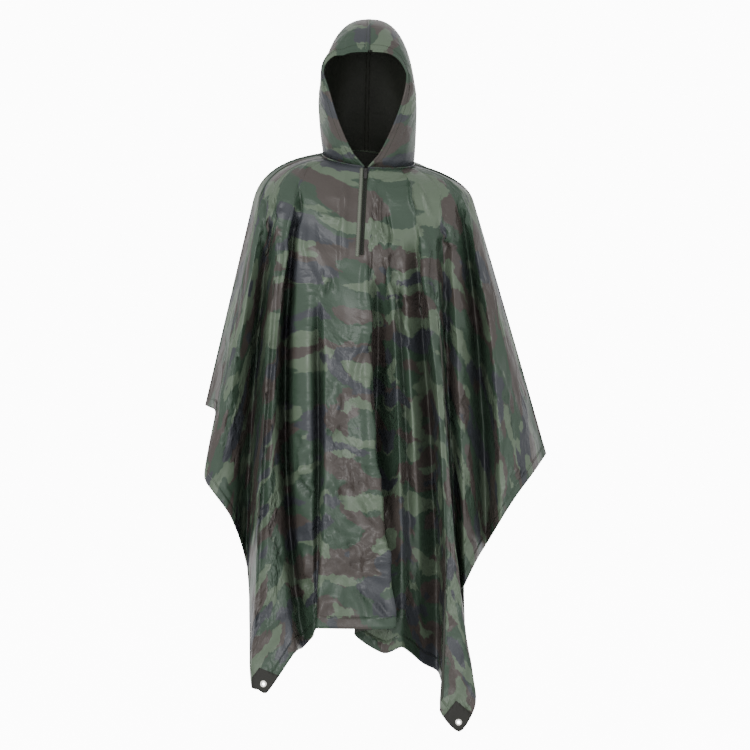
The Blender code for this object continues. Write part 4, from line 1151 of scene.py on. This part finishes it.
def coated_cloth(name, colour=None, gloss=(ROUGH_LOW, ROUGH_HIGH), crumpled=1.0):
    """Coated cloth: printed, or plain where it has a colour of its own."""
    made, tree, shader = new_finish(name, MIRROR_LEVEL)
    place = node(tree, "ShaderNodeUVMap", (-1500, 0), uv_map="flat_cut").outputs[0]
    if colour is None:
        ink = node(tree, "ShaderNodeGroup", (-300, 300))
        ink.node_tree = print_group
        tree.links.new(place, ink.inputs["Flat place"])
        tree.links.new(ink.outputs["Colour"], shader.inputs["Base Color"])
    else:
        shade = noise(tree, place, 20.0, 4.0, 0.6, (-600, 300))
        dark = tuple(PLAIN_SHADE * c for c in colour[:3]) + (1.0,)
        mixed = mix_colours(tree, shade.outputs["Fac"], colour, dark, (-300, 300))
        tree.links.new(mixed, shader.inputs["Base Color"])
    handled = noise(tree, place, HANDLED_SCALE, 5.0, 0.6, (-700, 0))
    tree.links.new(ranged(tree, handled.outputs["Fac"], *gloss, (-300, 0)),
                   shader.inputs["Roughness"])
    weave = noise(tree, place, WEAVE_SCALE, 1.0, 0.5, (-900, -560))
    normal = bump(tree, weave.outputs["Fac"], WEAVE_DEPTH, 0.5, (-500, -560))
    stray = noise(tree, place, 16.0, 3.0, 0.6, (-1300, -300))
    bent = node(tree, "ShaderNodeMix", (-1100, -300), data_type="VECTOR")
    bent.inputs[0].default_value = STRAY_SHARE
    tree.links.new(place, bent.inputs[4])
    tree.links.new(stray.outputs["Color"], bent.inputs[5])
    patchy = ranged(tree, noise(tree, place, 7.0, 2.0, 0.5, (-1100, -700)).outputs["Fac"],
                    *PATCHY, (-900, -760))
    for k, (cells, depth) in enumerate(CRUMPLES):
        row = -300 - 240 * k
        cell = node(tree, "ShaderNodeTexVoronoi", (-900, row))
        cell.inputs["Scale"].default_value = cells
        tree.links.new(bent.outputs[1], cell.inputs["Vector"])
        height = node(tree, "ShaderNodeMath", (-700, row), operation="MULTIPLY")
        tree.links.new(cell.outputs["Distance"], height.inputs[0])
        tree.links.new(patchy, height.inputs[1])
        normal = bump(tree, height.outputs[0], depth * crumpled, 1.0, (-450, row), normal)
    tree.links.new(normal, shader.inputs["Normal"])
    return made


printed_cloth = coated_cloth("printed_cloth")
reverse_cloth = coated_cloth("reverse_cloth", (0.036, 0.039, 0.031, 1.0), (0.60, 0.75), 0.25)
# The rim facing's paler olive is painted light, for the light that falls inside the hood's rim.
facing_cloth = coated_cloth("facing_cloth", (0.055, 0.060, 0.047, 1.0), (0.55, 0.70), 0.3)
# The fly's pale colour is a painted highlight, for the light that its edge catches by the slit.
fly_cloth = coated_cloth("fly_cloth", (0.110, 0.122, 0.096, 1.0), (0.45, 0.60), 0.3)
for made in (front_cloth, back_cloth, hood_cloth["left"], hood_cloth["right"]):
    give_wall(made, WALL, printed_cloth, reverse_cloth)
print("cloth wall", WALL * 1000, "mm")

# %% [markdown]
# ## Sewing: strips along a line of cloth
#
# Hems, seams and the fly are strips of cloth laid on the panels. Each is made from the panel's own
# points, moved out along its normals, so a strip can never float or sink in. A strip grid is the
# same kind of grid as a panel, so the same function makes its mesh.

# %% Strips, beads and stitches
STRIP_WALL = 0.0004
STRIP_LIFT = 0.0002
BAND_TOP = STRIP_LIFT + STRIP_WALL
STITCH_PITCH = 0.0045
STITCH_LENGTH = 0.0030
STITCH_WIDTH = 0.0007
STITCH_RISE = 0.0005
STITCH_SIT = 0.2         # share of its own height by which a stitch's middle stands off the cloth
BEAD_SIDES = 8
SHARP_ANGLE = 40
WEAR_SHADE = 0.7         # how dark a small part's finish gets where no second colour is given


def cloth_strip(name, points, flat, normals, lift=STRIP_LIFT, wall=STRIP_WALL, finish=None):
    """A strip laid over cloth: its grid is moved out, and its wall is turned back towards it."""
    made = cloth_object(name, points + normals * (lift + wall), flat, normals)
    give_wall(made, wall, finish or printed_cloth, finish or printed_cloth)
    return made


def along_line(line, pitch):
    """Places at an even pitch along a line of points: index numbers with fractions."""
    reach = np.concatenate([[0.0], np.cumsum(np.linalg.norm(np.diff(line, axis=0), axis=1))])
    return np.interp(np.arange(pitch / 2, reach[-1], pitch), reach, np.arange(len(line)))


def pick(rows, places):
    """Rows of an array at fractional index numbers."""
    low = np.clip(np.floor(places).astype(int), 0, len(rows) - 2)
    share = (places - low)[:, None]
    return rows[low] * (1 - share) + rows[low + 1] * share


def add_stitches(bm, line, normals):
    """A row of short thread stitches that lie along a line, on cloth with these normals."""
    places = along_line(line, STITCH_PITCH)
    middles, outs = pick(line, places), unit(pick(normals, places))
    runs = unit(pick(np.gradient(line, axis=0), places))
    sides = unit(np.cross(outs, runs))
    for middle, out, run, side in zip(middles, outs, runs, sides):
        turn = Matrix((run * STITCH_LENGTH, side * STITCH_WIDTH, out * STITCH_RISE)).transposed()
        place = Matrix.Translation(Vector(middle + out * STITCH_RISE * STITCH_SIT)) @ turn.to_4x4()
        bmesh.ops.create_cube(bm, size=1.0, matrix=place)


def object_from(bm, name, finish, smooth=True):
    """A small solid piece, facing out, in one finish."""
    bmesh.ops.recalc_face_normals(bm, faces=bm.faces)
    made = mesh_in_scene(name, bm)
    if smooth:
        made.data.shade_smooth()
        made.data.set_sharp_from_angle(angle=math.radians(SHARP_ANGLE))
    made.data.materials.append(finish)
    return made


def stitches(name, rows):
    bm = bmesh.new()
    for line, normals in rows:
        add_stitches(bm, line, normals)
    return object_from(bm, name, thread, smooth=False)


def bead(name, line, outs, radius, flat):
    """A round roll of printed cloth along a line, closed at both ends."""
    runs = unit(np.gradient(line, axis=0))
    ups = unit(np.cross(runs, outs))
    outs = unit(np.cross(ups, runs))
    bm, places = flat_grid(len(line) - 1, BEAD_SIDES, lambda place: flat[place[0]])
    for vert, (n, k) in zip(bm.verts, places):
        turn = 2 * math.pi * k / BEAD_SIDES
        vert.co = line[n] + radius * (outs[n] * math.cos(turn) + ups[n] * math.sin(turn))
    bmesh.ops.remove_doubles(bm, verts=bm.verts, dist=1e-6)
    bmesh.ops.holes_fill(bm, edges=[e for e in bm.edges if e.is_boundary], sides=BEAD_SIDES)
    return object_from(bm, name, printed_cloth)


def plain_finish(name, colour, roughness, metallic=0.0, grain=260.0, depth=0.0001, wear=None,
                 mirror=0.5):
    """A finish for small parts: its shade and gloss vary a little, on Object coordinates."""
    made, tree, shader = new_finish(name, mirror)
    place = node(tree, "ShaderNodeTexCoord", (-1100, 0)).outputs["Object"]
    mottle = noise(tree, place, grain, 4.0, 0.6, (-900, 0)).outputs["Fac"]
    second = tuple(c * WEAR_SHADE for c in colour) if wear is None else wear
    mixed = mix_colours(tree, ranged(tree, mottle, -0.4, 1.2, (-700, 200)),
                        (*colour, 1.0), (*second, 1.0), (-400, 200))
    gloss = ranged(tree, mottle, roughness * 0.75, roughness * 1.25, (-400, 0))
    tree.links.new(mixed, shader.inputs["Base Color"])
    tree.links.new(gloss, shader.inputs["Roughness"])
    shader.inputs["Metallic"].default_value = metallic
    tree.links.new(bump(tree, mottle, depth, 0.6, (-400, -260)), shader.inputs["Normal"])
    return made


THREAD_MIRROR = 0.2      # thread and bare weave shine less than paint
thread = plain_finish("thread", (0.030, 0.040, 0.026), 0.65, grain=2400.0, depth=0.0002,
                      mirror=THREAD_MIRROR)
tape_cloth = plain_finish("zip_tape_weave", (0.016, 0.020, 0.014), 0.75, grain=1800.0,
                          depth=0.0003, mirror=THREAD_MIRROR)
patch_cloth = plain_finish("corner_cloth_weave", (0.022, 0.022, 0.019), 0.60, grain=1500.0,
                           depth=0.0002, mirror=THREAD_MIRROR)
zip_paint = plain_finish("zip_paint", (0.020, 0.020, 0.021), 0.34, 0.6, grain=420.0,
                         depth=0.00005, wear=(0.060, 0.058, 0.054))
eyelet_nickel = plain_finish("eyelet_nickel", (0.66, 0.65, 0.62), 0.26, 1.0, grain=620.0,
                             depth=0.00004, wear=(0.44, 0.42, 0.38))
print("small finishes made")

# %% [markdown]
# ## Hems
#
# The sheet's edge is turned over twice and stitched, so a flat double band runs round the whole
# garment. Each band starts at the panel's last row and ends where the flat cut says it is one
# hem's width in from the edge.

# %% Hem bands
HEM_WIDTH = 0.018
HEM_STITCH = 0.015
HEM_ROWS = 5


def hem_shares(panel, distance):
    """Row numbers at which each column is this far in from the sheet's edge."""
    neck = panel.flat[:, 0]
    share = 1.0 - np.clip(distance / np.maximum(from_edge(neck), 1e-6), 0.0, 0.5)
    length = np.linalg.norm(panel.flat - neck[:, None], axis=2)
    length = length / length[:, -1:]
    rows = np.arange(panel.points.shape[1])
    return np.array([np.interp(s, length[i], rows) for i, s in enumerate(share)])


def hem_line(panel, distance):
    """Points, flat places and normals of the panel along a line this far in from its edge."""
    rows = hem_shares(panel, distance)
    low = np.clip(np.floor(rows).astype(int), 0, panel.points.shape[1] - 2)
    share = (rows - low)[:, None]
    columns = np.arange(len(rows))
    def blend(grid):
        return grid[columns, low] * (1 - share) + grid[columns, low + 1] * share
    return blend(panel.points), blend(panel.flat), unit(blend(panel.normals))


def hem_band(name, panel):
    lines = [hem_line(panel, d) for d in np.linspace(HEM_WIDTH, 0.0, HEM_ROWS)]
    points, flat, normals = (np.stack([line[k] for line in lines], axis=1) for k in range(3))
    return cloth_strip(name, points, flat, normals)


hems = {}
for panel in (front, back):
    points, _, normals = hem_line(panel, HEM_STITCH)
    hems[panel.column] = [
        hem_band("hem_" + panel.column, panel),
        stitches("hem_stitches_" + panel.column, [(points + normals * BAND_TOP, normals)]),
    ]
print("hem of", round(2 * (SHEET_WIDTH + 2 * SHEET_DROP), 2), "m in the flat")

# %% [markdown]
# ## Shoulder seams and hood seams
#
# A felled seam is a narrow flat strip with a row of stitches down each side. It joins the front
# and the back along the sleeves, and the hood's halves over the crown. Inside, a welded tape keeps
# the rain out. A thin rolled seam joins the hood to the body.

# %% Shoulder seams
SEAM_WIDTH = 0.010
SEAM_STITCH = 0.65       # share of the way from a seam's middle to its edge


def seam_strip(name, low_side, high_side, low_normals, high_normals, low_flat, inward=False):
    """A strip over the line where two pieces meet, from a column of each and their middle."""
    middle = (low_side[0] + high_side[0]) / 2
    out = unit(low_normals[0] + high_normals[0])
    def at_width(side):
        away = side[1] - side[0]
        return side[0] + unit(away) * SEAM_WIDTH / 2
    points = np.stack([at_width(low_side), middle, at_width(high_side)])
    normals = np.stack([low_normals[1], out, high_normals[1]])
    flat = np.stack([low_flat[1], low_flat[0], low_flat[0] * 2 - low_flat[1]])
    if inward:
        normals = -normals
        points = points + normals * WALL
    return cloth_strip(name, points, flat, normals, finish=reverse_cloth if inward else None), (
        points, normals)


def seam_stitches(name, points, normals):
    """A row of stitches down each side of a seam's strip."""
    return stitches(name, [
        (points[1] * (1 - SEAM_STITCH) + points[side] * SEAM_STITCH + normals[1] * BAND_TOP,
         normals[side]) for side in (0, 2)])


seams = []
for name, edge, inner in (("left", 0, 1), ("right", -1, -2)):
    strip, (points, normals) = seam_strip(
        "shoulder_seam_" + name,
        (front.points[edge], front.points[inner]), (back.points[edge], back.points[inner]),
        (front.normals[edge], front.normals[inner]), (back.normals[edge], back.normals[inner]),
        (front.flat[edge], front.flat[inner]))
    seams += [strip, seam_stitches("shoulder_stitches_" + name, points, normals)]
print(len(seams), "shoulder seam pieces")

# %% Hood seams
RIM_RADIUS = 0.0022
RIM_STITCH_COLUMN = 4
RIM_STITCH_LIFT = 0.0002
FACING_COLUMNS = 7
NECK_ROLL_RADIUS = 0.0019
NECK_ROLL_ENDS = (2.0, 358.0)    # angles round the neck, from the throat to the throat
NECK_ROLL_STEPS = 180
left, right = hood_halves.values()


def hood_seam(name, inward):
    return seam_strip(
        name,
        (left.points[:, -1], left.points[:, -4]), (right.points[:, -1], right.points[:, -4]),
        (left.normals[:, -3], left.normals[:, -4]), (right.normals[:, -3], right.normals[:, -4]),
        (left.flat[:, -1], left.flat[:, -4]), inward)


crown_strip, (points, normals) = hood_seam("crown_seam", False)
crown_stitches = seam_stitches("crown_stitches", points, normals)
crown_tape, _ = hood_seam("crown_tape", True)

rim_line = np.concatenate([left.points[0], right.points[0, ::-1][1:]])
rim_flat = np.concatenate([left.flat[0], right.flat[0, ::-1][1:]])
face_rim = bead("face_rim", rim_line, unit(rim_line - HOOD_MIDDLE), RIM_RADIUS, rim_flat)
rim_stitches = stitches("rim_stitches", [
    (half.points[RIM_STITCH_COLUMN] + half.normals[RIM_STITCH_COLUMN] * RIM_STITCH_LIFT,
     half.normals[RIM_STITCH_COLUMN]) for half in (left, right)])


def rim_facing(name, half):
    """A strip lining the rim just inside the hood's cloth, its pale colour painted light."""
    part = slice(0, FACING_COLUMNS)
    inward = -half.normals[part]
    return cloth_strip(name, half.points[part] + inward * WALL, half.flat[part], inward,
                       finish=facing_cloth)


rim_facings = [rim_facing("rim_facing_" + name, half) for name, half in hood_halves.items()]

around = np.linspace(*NECK_ROLL_ENDS, NECK_ROLL_STEPS)
neck_line = neck_point(np.where(around > 180, around - 360, around), HOOD_LIFT / 2)
neck_outs = unit(neck_line * (1.0, 1.0, 0.0))
neck_roll = bead("neck_roll", neck_line, neck_outs, NECK_ROLL_RADIUS,
                 neck_outs[:, :2] * NECK_HOLE)
hood_trim = [crown_strip, crown_stitches, crown_tape, face_rim, rim_stitches, neck_roll,
             *rim_facings]
rim_length = float(np.linalg.norm(np.diff(rim_line, axis=0), axis=1).sum())
print("face opening rim", round(rim_length, 3), "m")

# %% [markdown]
# ## The zip
#
# A short coil zip opens the throat. Its slit is cut out of the front with two slanting planes and
# a level one. The tapes lie under the cloth, the teeth meet in the slit, and a stitched fly stands
# up along the slit's left edge; its pale colour is a painted highlight for the light on that edge.
# The slider and its pull keep their rigid shapes and get a worn black paint.

# %% Cut the slit
SLIT_REACH = 0.030       # cells this near the slit are cut, beside it
SLIT_BELOW = 0.020       # and below its foot


def cut_near(bm, near, middle, normal):
    """Cut the cells whose middles pass a test along a plane."""
    faces = [f for f in bm.faces if near(f.calc_center_median())]
    parts = {v for f in faces for v in f.verts}, {e for f in faces for e in f.edges}
    bmesh.ops.bisect_plane(bm, geom=[*parts[0], *parts[1], *faces], dist=1e-7, plane_co=middle,
                           plane_no=normal)


def cut_slit(made):
    """Cut the zip's slit out of the front, and return how many cells went."""
    lean = slit_x(1.0) - slit_x(0.0)
    def beside(c, low, reach):
        return c.y < 0 and c.z > low and abs(c.x - slit_x(c.z)) < reach
    def near(c):
        return beside(c, ZIP_FOOT_Z - SLIT_BELOW, SLIT_REACH)
    with editing(made) as bm:
        for side in (-1, 1):
            cut_near(bm, near, (slit_x(0.0) + side * SLIT_WIDTH / 2, 0, 0), (1, 0, -lean))
        cut_near(bm, near, (0, 0, ZIP_FOOT_Z), (0, 0, 1))
        gone = [f for f in bm.faces if beside(f.calc_center_median(), ZIP_FOOT_Z, SLIT_WIDTH / 2)]
        bmesh.ops.delete(bm, geom=gone, context="FACES")
        return len(gone)


front_tree = BVHTree.FromPolygons(
    [v.co for v in front_cloth.data.vertices], [p.vertices[:] for p in front_cloth.data.polygons])
print("slit:", cut_slit(front_cloth), "cells cut away")

# %% Tapes, teeth and fly
TAPE_WIDTH = 0.013
TAPE_THICKNESS = 0.0010
TAPE_SPLIT = 0.0012
TAPE_TAIL = 0.006
FLY_SETBACK = 0.0006
FLY_TAIL = 0.004
FLY_WIDTH = 0.0080
FLY_THICKNESS = 0.0012
CLOTH_GAP = 0.0003
ZIP_ROWS = 90
TOOTH_PITCH = 0.0021
TOOTH_SIZE = (0.0030, 0.0011, 0.0014)
TOOTH_SIDE = 0.0007      # how far teeth stand to either side of the middle
TOOTH_LIFT = 0.0012      # and off the tapes
TOOTH_BEVEL = 0.0003
TEETH_ENDS = (0.016, 0.002)      # how far the teeth stop short of the slit's top and foot
ZIP_START = 0.0030
FLY_COLUMNS = 7
FLY_ARCH = 0.0006        # how far the fly's middle stands up
FLY_STITCH_LIFT = 0.0004
UNDER_CLOTH = -WALL - CLOTH_GAP - TAPE_THICKNESS


def on_front(x, z):
    """The point and outward normal of the front where a level ray meets it."""
    point, normal, _, _ = front_tree.ray_cast(Vector((x, -1, z)), Vector((0, 1, 0)))
    return np.array(point), np.array(normal if normal.y < 0 else -normal)


def zip_strip(name, low, high, foot, lift, thickness, finish, columns=5, crown=0.0):
    """A strip down the front between two distances from the slit's middle."""
    rows = np.linspace(THROAT_Z - ZIP_START, foot, ZIP_ROWS)
    found = [[on_front(slit_x(z) + x, z) for z in rows] for x in np.linspace(low, high, columns)]
    points = np.array([[p for p, _ in column] for column in found])
    normals = np.array([[n for _, n in column] for column in found])
    arch = crown * np.sin(np.linspace(0.0, math.pi, columns))[:, None, None]
    flat = points[..., (0, 2)] - (0.0, NECK_HOLE)
    strip = cloth_strip(name, points + normals * arch, flat, normals, lift, thickness, finish)
    return strip, points, normals


tape_left, tape_right = (
    zip_strip(name, low, high, ZIP_FOOT_Z - TAPE_TAIL, UNDER_CLOTH, TAPE_THICKNESS,
              tape_cloth)[0]
    for name, low, high in (
        ("tape_left", -TAPE_SPLIT / 2 - TAPE_WIDTH, -TAPE_SPLIT / 2),
        ("tape_right", TAPE_SPLIT / 2, TAPE_SPLIT / 2 + TAPE_WIDTH)))
fly_edge = -SLIT_WIDTH / 2 - FLY_SETBACK
fly, points, normals = zip_strip("fly", fly_edge - FLY_WIDTH, fly_edge, ZIP_FOOT_Z - FLY_TAIL,
                                 CLOTH_GAP, FLY_THICKNESS, fly_cloth, FLY_COLUMNS, FLY_ARCH)
fly_top = CLOTH_GAP + FLY_THICKNESS + FLY_STITCH_LIFT
fly_stitches = stitches("fly_stitches", [(points[k] + normals[k] * fly_top, normals[k])
                                         for k in (1, FLY_COLUMNS - 2)])


def set_on(point, axis):
    """The place of a shape whose own +Z is turned to an axis."""
    turn = Vector((0, 0, 1)).rotation_difference(Vector(axis)).to_matrix().to_4x4()
    return Matrix.Translation(Vector(point)) @ turn


def build_teeth():
    """Two staggered rows of teeth that meet in the slit."""
    bm = bmesh.new()
    short_top, short_foot = TEETH_ENDS
    heights = np.arange(THROAT_Z - short_top, ZIP_FOOT_Z + short_foot, -TOOTH_PITCH)
    for k, z in enumerate(heights):
        side = 1 if k % 2 else -1
        point, normal = on_front(slit_x(z) + side * TOOTH_SIDE, z)
        place = set_on(point + normal * (UNDER_CLOTH + TOOTH_LIFT), normal)
        bmesh.ops.create_cube(bm, size=1.0, matrix=place @ Matrix.Diagonal((*TOOTH_SIZE, 1.0)))
    bmesh.ops.bevel(bm, geom=bm.edges[:], offset=TOOTH_BEVEL, segments=1, profile=0.5,
                    affect="EDGES", material=-1)
    return object_from(bm, "zip_teeth", zip_paint)


zip_teeth = build_teeth()
for name in ("zip_slider", "zip_pull"):
    for slot in bpy.data.objects[name].material_slots:
        slot.material = zip_paint
print("teeth of", len(zip_teeth.data.polygons), "faces in all")

# %% [markdown]
# ## Corners
#
# Each corner of the sheet is doubled with a square of dark cloth, and holds an eyelet, so that the
# poncho can be pitched as a shelter. The squares are cut from the panels' own cells. An eyelet is
# a turned ring: a profile spun once round its axis, then set on the corner's own plane.

# %% Reinforcing squares
PATCH_SIDE = 0.048
PATCH_WALL = 0.0009
PATCH_CELLS = 14
PATCH_LEG = 3            # columns from the corner to where the hem's direction is read
PATCH_GAP = 0.0002
EYELET_HOLE = 0.0034
PUNCH_RADIUS = EYELET_HOLE + 0.0006
PUNCH_SIDES = 16
PUNCH_REACH = 0.022      # cells this near the eyelet are cut
PUNCH_DEPTH = 0.020


def punch(bm, middle, axis):
    """Cut a round hole through one layer, by planes all round it."""
    middle, axis = Vector(middle), Vector(axis).normalized()
    side = axis.orthogonal().normalized()
    for k in range(PUNCH_SIDES):
        away = Matrix.Rotation(2 * math.pi * k / PUNCH_SIDES, 3, axis) @ side
        cut_near(bm, lambda c: (c - middle).length < PUNCH_REACH,
                 middle + away * PUNCH_RADIUS, away)
    def inside(face):
        offset = face.calc_center_median() - middle
        deep = offset.dot(axis)
        return (offset - axis * deep).length < PUNCH_RADIUS and abs(deep) < PUNCH_DEPTH
    bmesh.ops.delete(bm, geom=[f for f in bm.faces if inside(f)], context="FACES")


def eyelet_place(name):
    """Middle of an eyelet and the way it faces, from the rigid model."""
    low, high = (np.array(corner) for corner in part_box(name))
    mount = [m for m in frame["record"]["mounts"] if m["name"] == name][0]
    return (low + high) / 2, np.array(mount["axis"])


def corner_square(panel, corner, name):
    """The dark square over one corner, cut from the panel's own cells and punched."""
    first, middle, last = (fold_column(panel.folds, panel.steps, fold)
                           for fold in (corner.first, corner.name, corner.last))
    cells = (slice(first, last + 1), slice(-PATCH_CELLS, None))
    lift = BAND_TOP + PATCH_GAP + PATCH_WALL
    made = cloth_object(name, panel.points[cells] + panel.normals[cells] * lift,
                        panel.flat[cells], panel.normals[cells])
    tip = panel.points[middle, -1]
    legs = [unit((panel.points[middle + turn, -1] - tip) * (1.0, 0.0, 1.0))
            for turn in (-PATCH_LEG, PATCH_LEG)]
    with editing(made) as bm:
        for leg, other in (legs, legs[::-1]):
            away = unit(leg - other * np.dot(leg, other))
            bmesh.ops.bisect_plane(bm, geom=bm.verts[:] + bm.edges[:] + bm.faces[:], dist=1e-7,
                                   plane_co=tip + leg * PATCH_SIDE, plane_no=away,
                                   clear_outer=True)
        punch(bm, *eyelet_place(name.replace("corner_square", "eyelet")))
    give_wall(made, PATCH_WALL, patch_cloth, patch_cloth)
    return made


squares = {}
for panel, corners, cloth in ((front, FRONT_CORNERS, front_cloth),
                              (back, BACK_CORNERS, back_cloth)):
    for corner in corners:
        where = panel.column + "_" + corner.name.split("_")[1]
        squares[where] = corner_square(panel, corner, "corner_square_" + where)
        for layer in (cloth, hems[panel.column][0]):
            with editing(layer) as bm:
                punch(bm, *eyelet_place("eyelet_" + where))
print("corner squares:", ", ".join(squares))

# %% Eyelets
EYELET_BARREL = 0.0042
EYELET_FLANGE_RADIUS = 0.0074
EYELET_STEPS = 48
EYELET_TOP = 0.0027
EYELET_BACK = -0.0029
EYELET_BITE = 0.0008


def eyelet_profile():
    """Outline of a rolled eyelet: a barrel whose ends curl out into round flanges."""
    roll = np.linspace(0.0, math.pi, 9)
    wide, deep = (EYELET_FLANGE_RADIUS - EYELET_HOLE) / 2, EYELET_BITE
    centre = EYELET_HOLE + wide
    top = [(centre - wide * math.cos(a), EYELET_TOP - deep + deep * math.sin(a)) for a in roll]
    back = [(centre + wide * math.cos(a), EYELET_BACK + deep - deep * math.sin(a)) for a in roll]
    return top + [(EYELET_BARREL, EYELET_TOP - deep), (EYELET_BARREL, EYELET_BACK + deep)] + back


def build_eyelet(name, place, axis):
    """The ring spun from its profile, its middle set on the corner."""
    bm = bmesh.new()
    ring = [bm.verts.new((radius, 0, height)) for radius, height in eyelet_profile()]
    edges = [bm.edges.new((ring[k - 1], ring[k])) for k in range(len(ring))]
    bmesh.ops.spin(bm, geom=ring + edges, cent=(0, 0, 0), axis=(0, 0, 1), steps=EYELET_STEPS,
                   angle=2 * math.pi, use_merge=True)
    bmesh.ops.remove_doubles(bm, verts=bm.verts, dist=1e-6)
    middle = (EYELET_TOP + EYELET_BACK) / 2
    bmesh.ops.transform(bm, verts=bm.verts, matrix=set_on(place - axis * middle, axis))
    return object_from(bm, name, eyelet_nickel)


eyelets = {where: build_eyelet("ring_" + where, *eyelet_place("eyelet_" + where))
           for where in squares}
print(len(eyelets), "eyelets of", EYELET_FLANGE_RADIUS * 2000, "mm")

# %% [markdown]
# ## What each piece stands for
# Each new piece is parented to the body it moves with; the solids it stands in for are hidden.
# The frame must know which body each new piece moves with and which rigid solid it dresses.


def declare(piece, slot, *nodes):
    """A piece moves with the poncho and may stand in for rigid nodes; its slot is not used."""
    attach(piece, "poncho")
    if nodes:
        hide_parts(*nodes)


declare(front_cloth, "camouflage_cloth", "body_front")
declare(back_cloth, "camouflage_cloth", "body_back")
for name, made in hood_cloth.items():
    declare(made, "hood_cloth", "hood_" + name)
for made in hood_trim + seams + hems["front"] + hems["back"]:
    declare(made, "camouflage_cloth")
declare(tape_left, "zip_tape", "zip_tape_left")
declare(tape_right, "zip_tape", "zip_tape_right")
declare(fly, "camouflage_cloth", "zip_fly")
declare(fly_stitches, "camouflage_cloth")
declare(zip_teeth, "zip_metal")
for where, made in squares.items():
    declare(made, "corner_cloth", "corner_patch_" + where)
for where, made in eyelets.items():
    declare(made, "eyelet_metal", "eyelet_" + where)
zip_pieces = [tape_left, tape_right, fly, fly_stitches, zip_teeth]
for panel, made in ((front, front_cloth), (back, back_cloth)):
    sewn = hems[panel.column] + [squares[w] for w in squares if w.startswith(panel.column)]
    sewn += zip_pieces if panel is front else []
